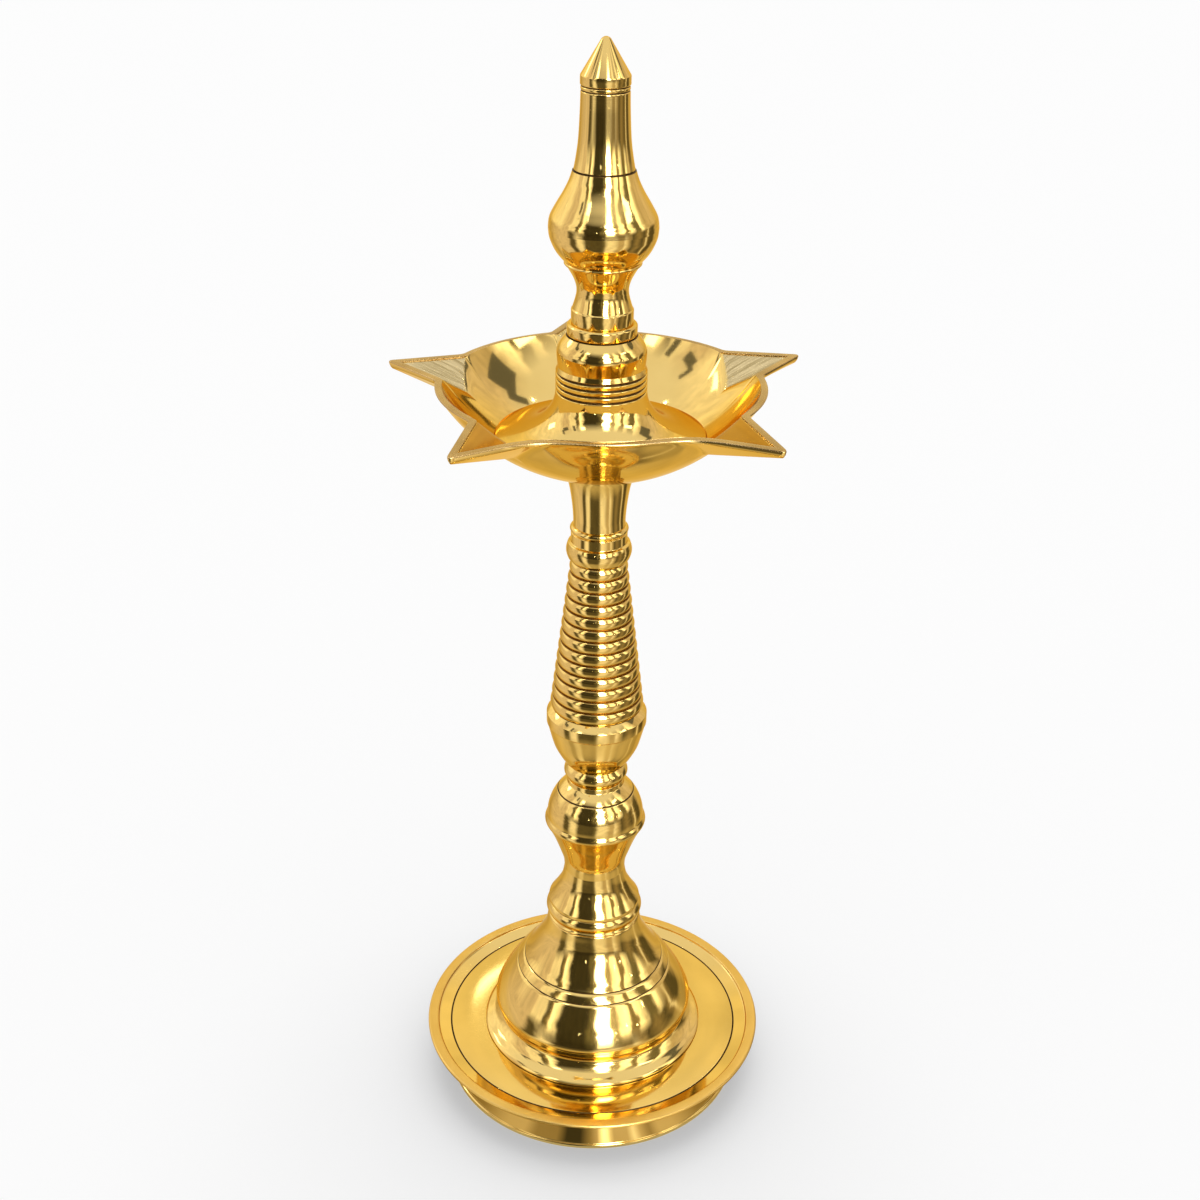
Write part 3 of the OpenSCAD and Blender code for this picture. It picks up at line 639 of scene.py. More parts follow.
stem = (
    curve(cup) + [(21.1, 178.7), (21.1, 183.2), (20.7, 183.6), (18.7, 185.9)] + ribs
    + bow(12.5, BAND_FOOT, BAND_FOOT + 6.6, 0.8) + [(11.4, BAND_FOOT + 7.0), (11.4, BAND_FOOT + 11.0)]
    + bow(10.9, BAND_FOOT + 11.2, NECK_FOOT, 0.9, 8) + curve(neck)
    + [(WASHER_R, BOWL_FOOT), (WASHER_R, BOWL_FOOT - WASHER_DEEP)]
)


def in_crevice(r, z):
    """True close to the bottom of a groove between two ribs, where shade is painted."""
    turns = (z - RIB_FOOT) / RIB_PITCH
    near = abs(turns - round(turns)) * RIB_PITCH < CREVICE_HALF
    return near and -CREVICE_PAST < turns < RIBS + CREVICE_PAST


stem_top_hole = (STUD_HOLE[0], STUD_HOLE[1] - WASHER_DEEP)
stem_piece = turned("ribbed_stem", "column", stem, edge=0.3, low=STUD_HOLE, high=stem_top_hole)
# Painted shade in the crevices between the ribs
refinish(stem_piece, in_crevice, CREVICE_SHADE)

# Hub: trumpet foot that follows the bowl, four grooves and a ball
HUB_GAP = 0.15
HUB_UNDER_R = 10.3
HUB_FOOT_R = 41.0
HUB_NECK = (17.7, 326.4)
FLARE_STEPS = 24
FLARE_TOP = HUB_NECK[1] - 0.6
GROOVES = 4
GROOVE_PITCH = 2.4
GROOVE_TOP = HUB_NECK[1] + GROOVES * GROOVE_PITCH
# Points of a groove from the neck's side at its middle, and how far painted shade reaches below and above
# its middle
GROOVE_SHAPE = ((0.0, -0.55), (-0.5, -0.3), (-0.6, 0.0), (-0.5, 0.3), (0.0, 0.55))
GROOVE_SHADE = (0.32, 0.55)
GROOVE_LIP = 0.1
HUB_SEAM = HUB_TOP - 0.15


def bowl_floor(r):
    """Level of the bowl's inside at radius r."""
    return BALL_Z - math.sqrt(IN_R * IN_R - r * r)


under = [(r, bowl_floor(r) + HUB_GAP) for r in (HUB_UNDER_R, 15, 20, 25, 30, 35, HUB_FOOT_R)]
foot_edge = bowl_floor(HUB_FOOT_R) + 0.5
flare = []
for i in range(FLARE_STEPS + 1):
    a = math.radians(90 - 90 * i / FLARE_STEPS)
    across = (HUB_FOOT_R - HUB_NECK[0]) * math.cos(a)
    flare.append((HUB_FOOT_R - across, HUB_NECK[1] - (HUB_NECK[1] - foot_edge) * math.sin(a)))
grooves = []
for i in range(GROOVES):
    grooves += [(HUB_NECK[0] + r, HUB_NECK[1] + i * GROOVE_PITCH + z) for r, z in GROOVE_SHAPE]
ball_mid = (GROOVE_TOP + HUB_TOP) / 2 - 0.4
hub_ball = curve([(16.9, GROOVE_TOP), (17.3, ball_mid), (16.2, (ball_mid + HUB_TOP) / 2), (13.6, HUB_TOP)])
hub = [(HUB_UNDER_R, HUB_SEAT)] + under + [p for p in flare if p[1] < FLARE_TOP] + grooves + hub_ball


def in_groove(r, z):
    """True in one of the hub's grooves above its polished lower lip, where shade is painted."""
    half = GROOVE_PITCH / 2
    cut = r < HUB_NECK[0] - GROOVE_LIP and HUB_NECK[1] - half < z < GROOVE_TOP - half
    return cut and (z - HUB_NECK[1] + GROOVE_SHADE[0]) % GROOVE_PITCH < sum(GROOVE_SHADE)


hub_piece = turned("hub", "bowl", hub, edge=0.25, low=STUD_HOLE, high=PIN_HOLE)
# Painted shade in the seam under the collar and in the grooves
refinish(hub_piece, lambda r, z: z > HUB_SEAM or in_groove(r, z), PAINTED_SHADE)

# Hub collar
COLLAR_SEAM = HUB_TOP + 0.35
hub_collar = [(13.1, HUB_TOP), (13.5, HUB_TOP + 0.4), (13.5, WAIST_FOOT - 0.8), (12.7, WAIST_FOOT)]
hub_ring_piece = turned("hub_collar", "hub_ring", hub_collar, through=PIN_HOLE[0])
# Painted shade in the seam at the collar's foot
refinish(hub_ring_piece, lambda r, z: z < COLLAR_SEAM, PAINTED_SHADE)

# Finial's waist: short foot, hollow neck and lip
WAIST_LIP = 375.3
waist = (
    [(11.9, WAIST_FOOT), (11.9, 358.2)]
    + curve([(11.5, 358.6), (9.9, 364.7), (10.76, 369.58), (13.9, WAIST_LIP)])
    + bow(14.3, WAIST_LIP, BULB_FOOT, 0.4, 6)
)
turned("finial_waist", "finial", waist, through=PIN_HOLE[0])

# Finial's bulb: pear shape, with painted shade in the seam at its top
BULB_BELLY = (20.6, 389.4)
BULB_SEAM = SPIRE_FOOT - 0.3
bulb_low = between(
    (14.2, BULB_FOOT), BULB_BELLY,
    [(0, 0), (0.26, 0.12), (0.62, 0.36), (0.92, 0.7), (1, 1)],
)
bulb_high = between(
    BULB_BELLY, (11.7, SPIRE_FOOT),
    [(0, 0), (0.06, 0.18), (0.3, 0.38), (0.62, 0.61), (0.85, 0.81), (1, 1)],
)
bulb = curve(bulb_low) + curve(bulb_high)[1:]
bulb_piece = turned("finial_bulb", "finial", bulb, through=PIN_HOLE[0])
# Painted shade on the land at its top, in the seam under the spire
refinish(bulb_piece, lambda r, z: z > BULB_SEAM, PAINTED_SHADE)

# Finial's spire: tapering side, two grooves and a pointed cap with a round tip
CAP = (9.2, 440.6)
CONE_Z = 443.8
POINT_R = 2.2
SPIRE_SEAM = SPIRE_FOOT + 0.35
SPIRE_LINES_FOOT = 438.0
SPIRE_LINES_R = 8.85
spire_side = between(
    (11.3, SPIRE_FOOT + 0.4), (9.0, 437.4),
    [(0, 0), (0.34, 0.16), (0.7, 0.4), (0.92, 0.75), (1, 1)],
)
lean = math.degrees(math.atan((CAP[0] - POINT_R) / (LAMP_TOP - CONE_Z - POINT_R)))
spire = (
    [(11.3, SPIRE_FOOT)] + curve(spire_side)
    + [(9.0, 438.2), (8.6, 438.6), (9.0, 439.0), (9.0, 439.8), (8.6, 440.2), CAP, (CAP[0], CONE_Z)]
    + arc(LAMP_TOP - POINT_R, POINT_R, lean, 88, 10)
)


def on_spire_line(r, z):
    """True where shade is painted: at the spire's foot and in its two grooves."""
    return z < SPIRE_SEAM or (r < SPIRE_LINES_R and SPIRE_LINES_FOOT < z < CAP[1])


spire_piece = turned("finial_spire", "finial", spire, edge=0.3, low=PIN_HOLE)
# Painted shade in the seam at the foot and in the two grooves
refinish(spire_piece, on_spire_line, PAINTED_SHADE)

# Threaded studs, from their lower to their upper end: the base's rod starts below its nut
ROD_FOOT = NUT_FOOT - 1
ROD_THREAD = 14.2
STUDS = (
    ("base_rod", "base", ROD_FOOT, LOWER_FOOT, ROD_THREAD),
    ("stem_stud", "lower", BEAD_FOOT - STUD_ENGAGE, STEM_FOOT, STUD_ENGAGE),
    ("bowl_stud", "column", BOWL_FOOT - STUD_ENGAGE, HUB_SEAT, STUD_ENGAGE),
)
for node, body, foot, seat, low_thread in STUDS:
    threaded(node, body, foot, seat + STUD_ENGAGE, STUD_R, STUD_PITCH, low_thread, STUD_ENGAGE)
threaded(
    "finial_rod", "finial", HUB_TOP - PIN_ENGAGE, SPIRE_FOOT + PIN_ENGAGE,
    PIN_R, PIN_PITCH, PIN_ENGAGE, PIN_ENGAGE,
)

# Finishes of the bowl's faces, in the order of its materials
POLISHED_FACE, GROUND_FACE, FILED_FACE, TROUGH_REFLECTION_FACE = range(4)
# Each spout's angle from the back one, the distance of its tip from the axis, the roundings where the rim
# runs into its two sides, and the finish of its trough
SMALL_FILLET = 1.6
FRONT_FILLET = 13.0
SPOUTS = (
    (0.0, 90.5, SMALL_FILLET, SMALL_FILLET, FILED_FACE),
    (70.4, 86.8, SMALL_FILLET, SMALL_FILLET, FILED_FACE),
    # The front spouts' troughs take the darker brass that paints their deep reflection
    (141.0, 93.5, SMALL_FILLET, FRONT_FILLET, TROUGH_REFLECTION_FACE),
    (219.0, 93.5, FRONT_FILLET, SMALL_FILLET, TROUGH_REFLECTION_FACE),
    (289.6, 86.8, SMALL_FILLET, SMALL_FILLET, FILED_FACE),
)
BACK_DEG = 90
# A spout's root on the rim, half its tip's width, the flat band along its edges, their thickness, and the
# angle past the root over which that thickness fades
SPOUT_ROOT = math.radians(14.5)
ROOT_X = RIM_R * math.cos(SPOUT_ROOT)
ROOT_HALF = RIM_R * math.sin(SPOUT_ROOT)
SPOUT_TIP_HALF = 1.7
SPOUT_BAND = 3.1
SPOUT_EDGE = 1.7
EDGE_FADE = math.radians(4)
# The keel under a spout: depth at tip and root, rounding into the bowl, where it starts, and the least half
# width of the spout over it
KEEL_TIP = 2.8
KEEL_ROOT = 11.2
KEEL_BLEND = 2.5
KEEL_START_R = 40
KEEL_LEAST_HALF = 0.2
# The trough in a spout: depth at tip and root, the angle past the root where it ends, its least half width,
# the rounding of its crest into the bowl's floor, and how fast its finish ends there
TROUGH_TIP = 0.7
TROUGH_ROOT = 7.2
TROUGH_PAST = math.radians(7)
TROUGH_LEAST_HALF = 0.05
CREST_BLEND = 3.0
CREST_SHARE = 0.25
INNER_RIM_R = math.sqrt(IN_R ** 2 - (BALL_Z - RIM_Z) ** 2)
# How close to the rim the bowl's section gives way where a rounding moves the rim outward
PULL_POWER = 14


def edge_distance(corners, angle):
    """Distance from the axis to a straight edge between two corners, at an angle in radians."""
    (x0, y0), (x1, y1) = corners
    dx, dy = x1 - x0, y1 - y0
    return (x0 * dy - y0 * dx) / (math.cos(angle) * dy - math.sin(angle) * dx)


def soft_low(a, b, blend):
    """Lower of two values with a rounded change from one to the other."""
    share = max(0.0, min(1.0, 0.5 + 0.5 * (b - a) / blend))
    return b + (a - b) * share - blend * share * (1 - share)


def soft_high(a, b, blend):
    """Higher of two values with a rounded change from one to the other."""
    return -soft_low(-a, -b, blend)


def pulled_in(r, limit, lift):
    """Radius on the plain bowl that a point maps to where a rounding has moved the rim outward."""
    end = limit + lift
    return limit if r >= end else r - lift * (r / end) ** PULL_POWER


def half_at(x, start, end):
    """Half width of a spout at x, between its root (x, half) and its end."""
    return start[1] + (end[1] - start[1]) * (x - start[0]) / (end[0] - start[0])


class Spout:
    """Shape of the bowl round one spout, in polar terms from the spout's middle line."""

    def __init__(self, tip_x, fillets, trough_finish):
        self.tip_x = tip_x
        self.fillets = fillets
        self.trough_finish = trough_finish
        self.tip_side = (tip_x - SPOUT_TIP_HALF, SPOUT_TIP_HALF)
        slope = (ROOT_HALF - SPOUT_TIP_HALF) / (self.tip_side[0] - ROOT_X)
        inset = SPOUT_BAND * math.sqrt(1 + slope ** 2)
        self.inner_half = ROOT_HALF - inset
        self.trough_x = self.tip_side[0] + (SPOUT_TIP_HALF - inset) / slope

    def outer_edge(self, angle):
        """Distance of the rim's outer edge from the axis, and how much of it the rounding adds."""
        fillet = self.fillets[angle > 0]
        angle = abs(angle)
        tip_angle = math.atan2(self.tip_side[1], self.tip_side[0])
        if angle <= tip_angle:
            across = angle / tip_angle
            return self.tip_x - (self.tip_x - math.hypot(*self.tip_side)) * across ** 2, 0
        line = edge_distance(((ROOT_X, ROOT_HALF), self.tip_side), angle)
        edge = soft_high(RIM_R, line, fillet)
        return edge, edge - max(RIM_R, line)

    def inner_edge(self, angle):
        """Distance of the rim's inner edge from the axis, and how much of it the rounding adds."""
        line = edge_distance(((ROOT_X, self.inner_half), (self.trough_x, 0)), abs(angle))
        lip = soft_high(INNER_RIM_R, line, self.fillets[angle > 0])
        return lip, lip - max(INNER_RIM_R, line)

    def under_level(self, r, angle, lift):
        """Level of the bowl's outside at a point, with the spout's keel blended into it."""
        ball = BALL_Z - math.sqrt(BALL_R ** 2 - pulled_in(r, RIM_R, lift) ** 2)
        if r < KEEL_START_R:
            return ball
        x, y = r * math.cos(angle), abs(r * math.sin(angle))
        keel = KEEL_TIP + (KEEL_ROOT - KEEL_TIP) * (self.tip_x - x) / (self.tip_x - ROOT_X)
        half = max(half_at(x, (ROOT_X, ROOT_HALF), self.tip_side), KEEL_LEAST_HALF)
        fade = max(0, min(1, 1 - (abs(angle) - SPOUT_ROOT) / EDGE_FADE))
        edge = SPOUT_EDGE * fade
        wedge = RIM_Z - edge - (keel - edge) * max(0, 1 - y / half)
        return soft_low(ball, wedge, KEEL_BLEND)

    def floor_level(self, r, angle, lift):
        """Level of the bowl's inside at a point, and whether it lies in the spout's trough."""
        ball = BALL_Z - math.sqrt(IN_R ** 2 - pulled_in(r, INNER_RIM_R, lift) ** 2)
        if abs(angle) > SPOUT_ROOT + TROUGH_PAST:
            return ball, False
        x, y = r * math.cos(angle), abs(r * math.sin(angle))
        deep = TROUGH_TIP + (TROUGH_ROOT - TROUGH_TIP) * (self.trough_x - x) / (self.trough_x - ROOT_X)
        half = max(half_at(x, (ROOT_X, self.inner_half), (self.trough_x, 0)), TROUGH_LEAST_HALF)
        level = RIM_Z - deep * (1 - y / half)
        bare = max(0, INNER_RIM_R - r) * CREST_SHARE
        return soft_low(ball, level, CREST_BLEND), level < ball - bare


# Columns of the bowl's mesh round a spout: spans in degrees from its middle, and columns in each span
TIP_SPAN = 2
SIDE_SPAN = 16
TIP_COLUMNS = 32
SIDE_COLUMNS = 44
RIM_COLUMNS = 20
# Rows of the bowl's mesh under it and inside it, and how much closer they lie near the rim
UNDER_ROWS = 46
UNDER_SPACING = 1.5
FLOOR_ROWS = 64
FLOOR_SPACING = 1.3
# Flat land round the stud's hole, inside and outside
LAND_R = 11.35
SEAT_R = 11.5
# Rounded edge of the rim's band: height of its side, and points (inward, down) from its two edges
EDGE_HIGH = 0.7
EDGE_ROUND = 1.4
BAND_OUT = ((0.0, 0.5), (0.1, 0.25), (0.35, 0.08), (0.8, 0.0))
BAND_IN = ((0.7, 0.0), (0.3, 0.06), (0.1, 0.18))


def sector_angles(before, after):
    """Angles of the mesh's columns round one spout, close together near its middle."""
    spans = (
        (-before, -SIDE_SPAN, RIM_COLUMNS), (-SIDE_SPAN, -TIP_SPAN, SIDE_COLUMNS),
        (-TIP_SPAN, TIP_SPAN, TIP_COLUMNS),
        (TIP_SPAN, SIDE_SPAN, SIDE_COLUMNS), (SIDE_SPAN, after, RIM_COLUMNS),
    )
    out = []
    for low, high, count in spans:
        out += [math.radians(low + (high - low) * i / count) for i in range(count)]
    return out


def bowl_column(spout, angle):
    """Section of the bowl at an angle from a spout's middle line, as points (radius, level, finish): out
    along the underside, over the rim's band and in along the floor."""
    edge, lift = spout.outer_edge(angle)
    lip, inner_lift = spout.inner_edge(angle)
    column = [(STUD_HOLE[0], BOWL_FOOT, POLISHED_FACE), (SEAT_R, BOWL_FOOT, POLISHED_FACE)]
    for i in range(1, UNDER_ROWS + 1):
        share = i / UNDER_ROWS
        r = SEAT_R + (edge - SEAT_R) * (1 - (1 - share) ** UNDER_SPACING)
        level = min(spout.under_level(r, angle, lift), RIM_Z - EDGE_HIGH)
        past = min(1, max(0, (r - edge) / EDGE_ROUND + 1))
        level += (RIM_Z - EDGE_HIGH - level) * (1 - math.sqrt(1 - past ** 2))
        column.append((r, max(BOWL_FOOT, level), POLISHED_FACE))
    column += [(edge - inward, RIM_Z - down, GROUND_FACE) for inward, down in BAND_OUT]
    column += [(lip + outward, RIM_Z - down, GROUND_FACE) for outward, down in BAND_IN]
    for i in range(FLOOR_ROWS + 1):
        share = i / FLOOR_ROWS
        r = LAND_R + (lip - LAND_R) * (1 - share ** FLOOR_SPACING)
        level, in_trough = spout.floor_level(r, angle, inner_lift)
        column.append((r, min(level, RIM_Z), spout.trough_finish if in_trough else POLISHED_FACE))
    return column + [(STUD_HOLE[0], BOWL_FOOT + WALL, POLISHED_FACE)]


def oil_bowl():
    """Bowl with its spouts, as one mesh of columns round the axis."""
    verts, columns = [], []
    for number, (place, tip_x, fillet_before, fillet_after, trough_finish) in enumerate(SPOUTS):
        spout = Spout(tip_x, (fillet_before, fillet_after), trough_finish)
        before = (place - SPOUTS[number - 1][0]) % 360 / 2
        after = (SPOUTS[(number + 1) % len(SPOUTS)][0] - place) % 360 / 2
        for angle in sector_angles(before, after):
            column = bowl_column(spout, angle)
            turn = math.radians(BACK_DEG + place) + angle
            verts += [at_angle(r, turn, z) for r, z, finish in column]
            columns.append([finish for r, z, finish in column])
    rows = len(columns[0])
    faces, finishes = [], []
    for c, column in enumerate(columns):
        following = (c + 1) % len(columns)
        a, b = c * rows, following * rows
        for i in range(rows):
            n = (i + 1) % rows
            faces.append((a + i, b + i, b + n, a + n))
            finishes.append(min(column[i], columns[following][i]))
    piece = add_object("oil_bowl_look", verts, faces, sharp_deg=28)
    dress(piece, "bowl", "oil_bowl", "polished_brass", POLISHED, GROUND, FILED, TROUGH_REFLECTION)
    for face, finish in zip(piece.data.polygons, finishes):
        face.material_index = finish


oil_bowl()

# Fixings under the tray and the washers keep their solids and take a finish
for node, material in (
    ("base_strap", STEEL), ("base_washer", STEEL), ("base_nut", STEEL),
    ("bowl_washer", LEATHER), ("bowl_gasket", LEATHER),
):
    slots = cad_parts[node].data.materials
    slots.clear()
    slots.append(material)

# Camera: bearing from the lamp, distance from the axis, height, shift to the right, aim, and lens
BEARING = math.radians(-95)
CAMERA_AWAY = 636.4
CAMERA_HIGH = 559.3
CAMERA_RIGHT = 0.7
CAMERA_PITCH = math.radians(27)
CAMERA_ROLL = math.radians(0.85)
CAMERA_SENSOR = 36
CAMERA_LENS = 52.5
CAMERA_SIGHT = 50


def camera_setup():
    """Camera at the photograph's place, looking down on the lamp and a little rolled."""
    outward = Vector((math.cos(BEARING), math.sin(BEARING), 0))
    forward = -outward * math.cos(CAMERA_PITCH) - Vector((0, 0, math.sin(CAMERA_PITCH)))
    right = forward.cross(Vector((0, 0, 1))).normalized()
    up = right.cross(forward)
    side = right * math.cos(CAMERA_ROLL) + up * math.sin(CAMERA_ROLL)
    top = up * math.cos(CAMERA_ROLL) - right * math.sin(CAMERA_ROLL)
    place = outward * CAMERA_AWAY + Vector((0, 0, CAMERA_HIGH)) + right * CAMERA_RIGHT
    data = bpy.data.cameras.new("camera")
    data.sensor_width = CAMERA_SENSOR
    data.lens = CAMERA_LENS
    data.clip_end = CAMERA_SIGHT
    camera = bpy.data.objects.new("camera", data)
    turn = Matrix((side, top, -forward)).transposed()
    camera.matrix_world = Matrix.Translation(place * MM) @ turn.to_4x4()
    bpy.context.collection.objects.link(camera)
    bpy.context.scene.camera = camera


# Floor: half its width, its grey, and the share of plain white that is seen on it
FLOOR_HALF = 8
FLOOR_GREY = (0.97, 0.97, 0.97, 1)
FLOOR_WHITE = 0.33
# World: its strength as a light, and as it is seen
WORLD_LIGHT = 0.72
WORLD_SEEN = 1.0
# Sun: its strength, its width and the way it shines
SUN_STRENGTH = 0.9
SUN_WIDTH = math.radians(45)
SUN_AIM = (-0.05, -0.22, -1)
PLAIN_WHITE = (1, 1, 1, 1)


def seen_rays(tree):
    """1 for rays from the camera, off gloss or through glass, and 0 for rays that carry soft light."""
    path = tree.nodes.new("ShaderNodeLightPath")
    seen = path.outputs["Is Camera Ray"]
    for ray in ("Is Glossy Ray", "Is Transmission Ray"):
        either = tree.nodes.new("ShaderNodeMath")
        either.operation = "MAXIMUM"
        tree.links.new(seen, either.inputs[0])
        tree.links.new(path.outputs[ray], either.inputs[1])
        seen = either.outputs[0]
    return seen


def floor_setup():
    """Large pale floor that looks nearly white and keeps a soft shadow."""
    n = Nodes("pale_floor")
    matte = n.add("BsdfDiffuse", Color=FLOOR_GREY)
    glow = n.add("Emission", Color=PLAIN_WHITE, Strength=1.0)
    mixed = n.add("MixShader", Fac=n.math("MULTIPLY", seen_rays(n.tree), FLOOR_WHITE))
    n.put(mixed.inputs[1], matte.outputs[0])
    n.put(mixed.inputs[2], glow.outputs[0])
    far = FLOOR_HALF
    mesh = bpy.data.meshes.new("floor")
    mesh.from_pydata([(-far, -far, 0), (far, -far, 0), (far, far, 0), (-far, far, 0)], [], [(0, 1, 2, 3)])
    mesh.materials.append(n.surface(mixed))
    ground = bpy.data.objects.new("floor", mesh)
    bpy.context.collection.objects.link(ground)


def world_setup():
    """Even white light that is seen as plain white."""
    world = bpy.data.worlds.new("studio")
    bpy.context.scene.world = world
    world.use_nodes = True
    tree = world.node_tree
    level = tree.nodes.new("ShaderNodeMapRange")
    level.inputs["To Min"].default_value = WORLD_LIGHT
    level.inputs["To Max"].default_value = WORLD_SEEN
    tree.links.new(seen_rays(tree), level.inputs["Value"])
    background = tree.nodes["Background"]
    background.inputs["Color"].default_value = PLAIN_WHITE
    tree.links.new(level.outputs[0], background.inputs["Strength"])


def sun_setup():
    """Wide soft light from overhead, a little from behind on the right."""
    data = bpy.data.lights.new("overhead", "SUN")
    data.energy = SUN_STRENGTH
    data.angle = SUN_WIDTH
    lamp = bpy.data.objects.new("overhead", data)
    lamp.rotation_euler = Vector(SUN_AIM).to_track_quat("-Z", "Y").to_euler()
    lamp.visible_glossy = False
    bpy.context.collection.objects.link(lamp)


# Tones of the surroundings that the brass reflects, as shares of the brightest
BRIGHTEST = 20.0
WHITE = (1.0, 0.97, 0.92)
GLOW = (0.12, 0.11, 0.094)
LIGHT = (0.058, 0.053, 0.047)
PALE = (0.041, 0.0345, 0.03)
WARM = (0.05, 0.0415, 0.023)
MID = (0.032, 0.026, 0.018)
BROWN = (0.017, 0.013, 0.007)
OLIVE = (0.011, 0.0095, 0.0055)
SHADE = (0.006, 0.005, 0.0028)
DARK = (0.0028, 0.0024, 0.0014)
FLOOR_TONE = (0.037, 0.03, 0.017)
ROOF_TONE = (0.048, 0.0455, 0.044)
# Where they stand, by degrees to the right of the camera's bearing: close round the foot, on the floor and
# the foot of the walls, and on the walls
FOOT_TONES = (
    (0, BROWN), (3, MID), (6, GLOW), (9, MID), (16, MID), (18, LIGHT), (21, MID), (25, BROWN), (29, MID),
    (36, MID), (50, BROWN), (180, BROWN), (310, BROWN), (324, MID), (332, MID), (337, BROWN), (346, BROWN),
    (350, DARK), (356, DARK), (360, BROWN),
)
LOW_TONES = (
    (0, OLIVE), (8, LIGHT), (24, LIGHT), (34, MID), (42, MID), (46, LIGHT), (54, MID), (64, SHADE),
    (78, BROWN), (92, SHADE), (99, BROWN), (102, LIGHT), (106, BROWN), (110, SHADE), (122, SHADE),
    (130, MID), (165, WARM), (195, WARM), (222, MID), (250, PALE), (280, PALE), (286, SHADE), (295, SHADE),
    (303, LIGHT), (314, LIGHT), (323, SHADE), (354, SHADE), (360, OLIVE),
)
HIGH_TONES = (
    (5, OLIVE), (8, WHITE), (19, WHITE), (23, MID), (31, MID), (35, GLOW), (44, GLOW), (47, BROWN),
    (55, BROWN), (58, GLOW), (67, LIGHT), (71, OLIVE), (82, OLIVE), (86, GLOW), (94, LIGHT), (101, MID),
    (130, PALE), (160, WARM), (200, WARM), (220, LIGHT), (258, LIGHT), (270, PALE), (281, PALE),
    (284, LIGHT), (297, LIGHT), (300, DARK), (306, BROWN), (309, GLOW), (317, LIGHT), (321, DARK),
    (352, DARK), (358, OLIVE),
)
# Outline of the surroundings as (distance, level), and how far their stripes waver, in radians
ROOF_Z = 3.0
TENT = (
    (0.0662, 0.0008), (0.6, 0.0008), (2.4, 0.0008),
    (2.7, 0.3), (2.8, 1.0), (2.6, 2.0), (1.6, 2.8), (0, ROOF_Z),
)
TENT_SEGMENTS = 96
WAVER = 0.16
# Cards in the surroundings: degrees to the right of the camera's bearing, then distance, level, width and
# height, and the share of the brightest tone that each kind has
DARK_CARDS = (
    (110, 1.6, 1.65, 0.6, 0.7), (124, 1.6, 2.0, 0.2, 0.6), (293, 1.6, 1.87, 0.16, 0.6),
    (272, 1.6, 1.75, 0.35, 0.3), (264, 1.7, 2.1, 0.12, 0.5),
)
DARK_SHARE = 0.008
BRIGHT_CARDS = (
    (68, 1.8, 1.75, 0.6, 0.3), (186, 2.2, 1.765, 0.12, 0.09), (163, 1.8, 2.0, 0.12, 0.4),
    (315, 1.6, 1.98, 0.3, 0.4), (240, 2.2, 1.5, 0.5, 0.4),
)
BRIGHT_SHARE = 0.2
SMALL_LIGHTS = (
    (346, 2.4, 0.7, 0.025, 0.025), (5, 2.4, 0.6, 0.03, 0.03), (16, 2.4, 0.8, 0.04, 0.04),
    (27, 2.4, 0.65, 0.03, 0.03), (41, 2.4, 0.8, 0.03, 0.03), (53, 2.4, 0.6, 0.03, 0.03),
    (68, 2.4, 0.85, 0.03, 0.03), (120, 1.5, 2.4, 0.05, 0.05), (240, 1.4, 2.4, 0.05, 0.05),
)
SMALL_SHARE = 2.0


def reflected_only(piece):
    """Keeps a piece of the surroundings out of everything but reflections."""
    piece.visible_camera = False
    piece.visible_diffuse = False
    piece.visible_transmission = False
    piece.visible_shadow = False


def card_setup(name, cards, share):
    """Upright cards round the lamp, of a share of the brightest tone."""
    n = Nodes(name)
    glow = n.add("Emission", Color=(*WHITE, 1), Strength=BRIGHTEST * share)
    verts, faces = [], []
    for degrees, away, level, wide, high in cards:
        turn = BEARING + math.radians(degrees)
        aside = Vector((-math.sin(turn), math.cos(turn), 0)) * wide / 2
        rise = Vector((0, 0, high / 2))
        middle = Vector(at_angle(away, turn, level))
        start = len(verts)
        for corner in (-aside - rise, aside - rise, aside + rise, -aside + rise):
            verts.append((middle + corner) / MM)
        faces.append(tuple(range(start, start + 4)))
    piece = add_object(name, verts, faces)
    piece.data.materials.append(n.surface(glow))
    reflected_only(piece)


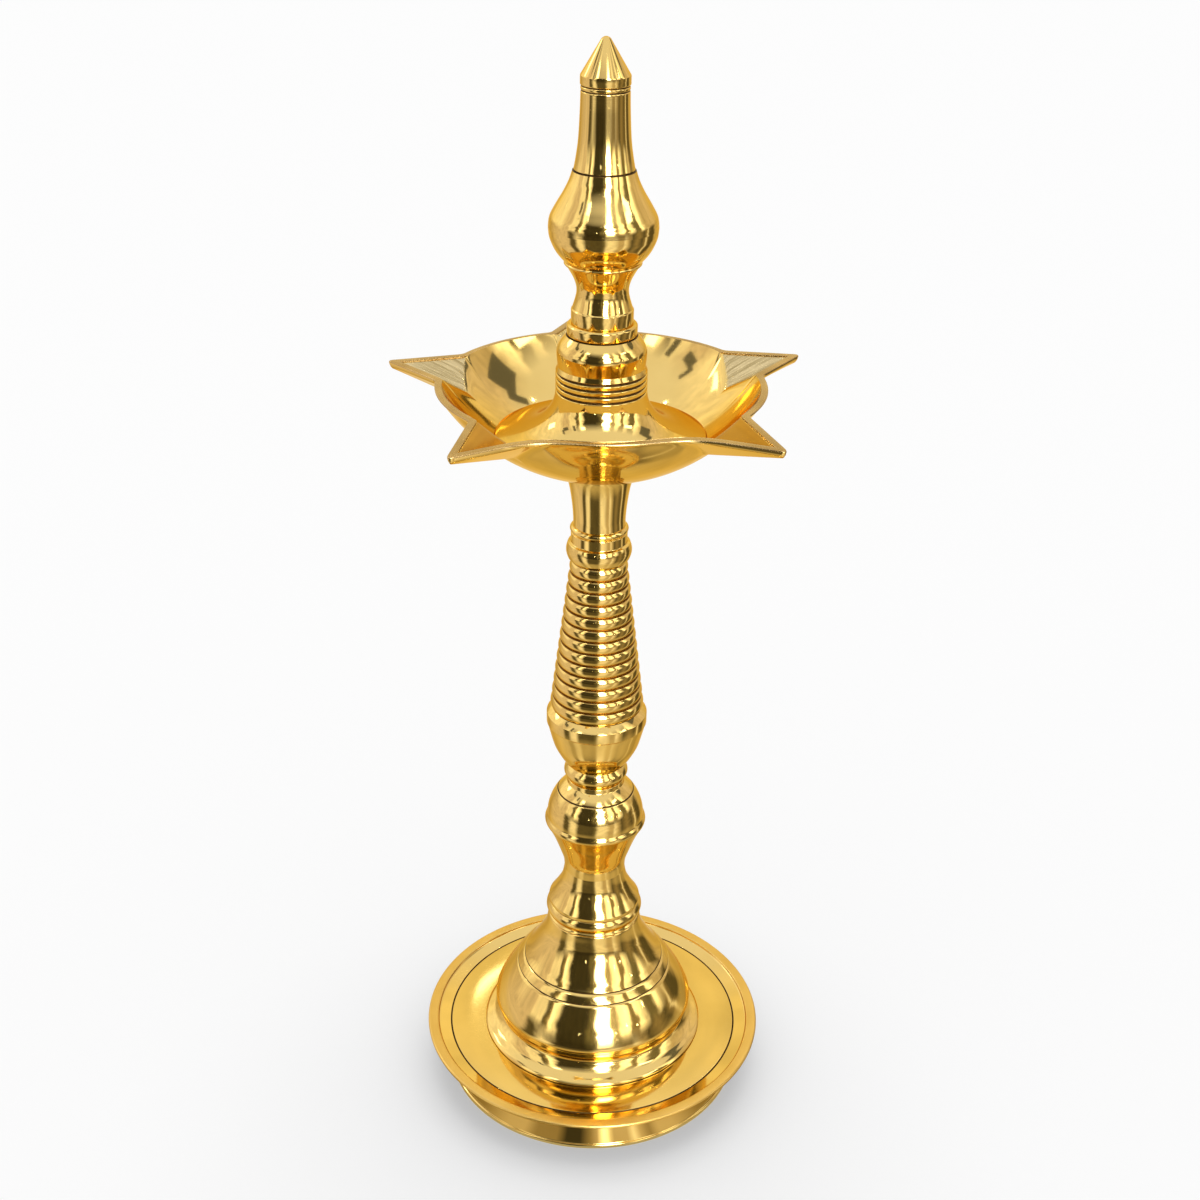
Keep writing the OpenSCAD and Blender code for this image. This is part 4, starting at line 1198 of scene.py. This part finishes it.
def tent_setup():
    """Striped studio surroundings that only reflections see."""
    n = Nodes("studio_tones")
    place = n.place()
    away, angle, z = n.polar(place)
    # Stripes: straight ones close to the lamp, and wavering ones further out
    turn = n.math("SUBTRACT", angle, BEARING)
    waver = n.shift(n.noise(place, scale=1.6, detail=2.0, rough=0.5), -WAVER, WAVER)
    straight = n.math("FRACT", n.math("DIVIDE", turn, FULL_TURN))
    wavering = n.math("FRACT", n.math("DIVIDE", n.math("ADD", turn, waver), FULL_TURN))
    foot = n.round_tones(straight, FOOT_TONES)
    low = n.round_tones(wavering, LOW_TONES)
    high = n.round_tones(wavering, HIGH_TONES)
    # Where each set shows: by distance on the floor, and by level on the walls
    close = n.mask(away, (0.08, 1), (0.095, 0))
    near = n.mask(away, (0.085, 0.2), (0.12, 0.7), (0.2, 0.7), (0.32, 0))
    rise = n.math("DIVIDE", z, ROOF_Z)
    up = n.mask(rise, (0.06, 0), (0.2, 1))
    roof = n.mask(rise, (0.7, 0), (0.9, 1))
    ground = n.mix(close, n.mix(near, low, FLOOR_TONE), foot)
    wall = n.mix(up, ground, high)
    # Darker foot of the walls on the camera's side, and uneven brightness all round
    low_wall = n.mask(rise, (0.0, 0), (0.03, 1), (0.1, 1), (0.2, 0))
    facing = n.mask(wavering, (0.0, 1), (0.13, 1), (0.2, 0), (0.8, 0), (0.87, 1))
    skyline = n.shift(n.math("MULTIPLY", low_wall, facing), 1.0, 0.4)
    streaks = n.noise(n.stretched(place, scale=(1, 1, 0.25)), scale=5.0, detail=3.0, rough=0.65)
    uneven = n.shift(streaks, 0.5, 1.5)
    tone = n.mix(roof, n.tint(wall, n.math("MULTIPLY", skyline, uneven)), ROOF_TONE)
    # No light from here after a diffuse bounce, so that the brass throws none of it on the floor
    bounces = n.add("LightPath").outputs["Diffuse Depth"]
    first = n.math("SUBTRACT", 1.0, n.math("MINIMUM", bounces, 1.0))
    glow = n.add("Emission", Color=tone, Strength=n.math("MULTIPLY", first, BRIGHTEST))
    tent = spun("studio_tent", [(r / MM, z / MM) for r, z in TENT], False, TENT_SEGMENTS)
    tent.data.materials.append(n.surface(glow))
    reflected_only(tent)


camera_setup()
floor_setup()
tent_setup()
card_setup("dark_cards", DARK_CARDS, DARK_SHARE)
card_setup("bright_cards", BRIGHT_CARDS, BRIGHT_SHARE)
card_setup("small_lights", SMALL_LIGHTS, SMALL_SHARE)
world_setup()
sun_setup()
bpy.context.scene.view_settings.view_transform = "Standard"
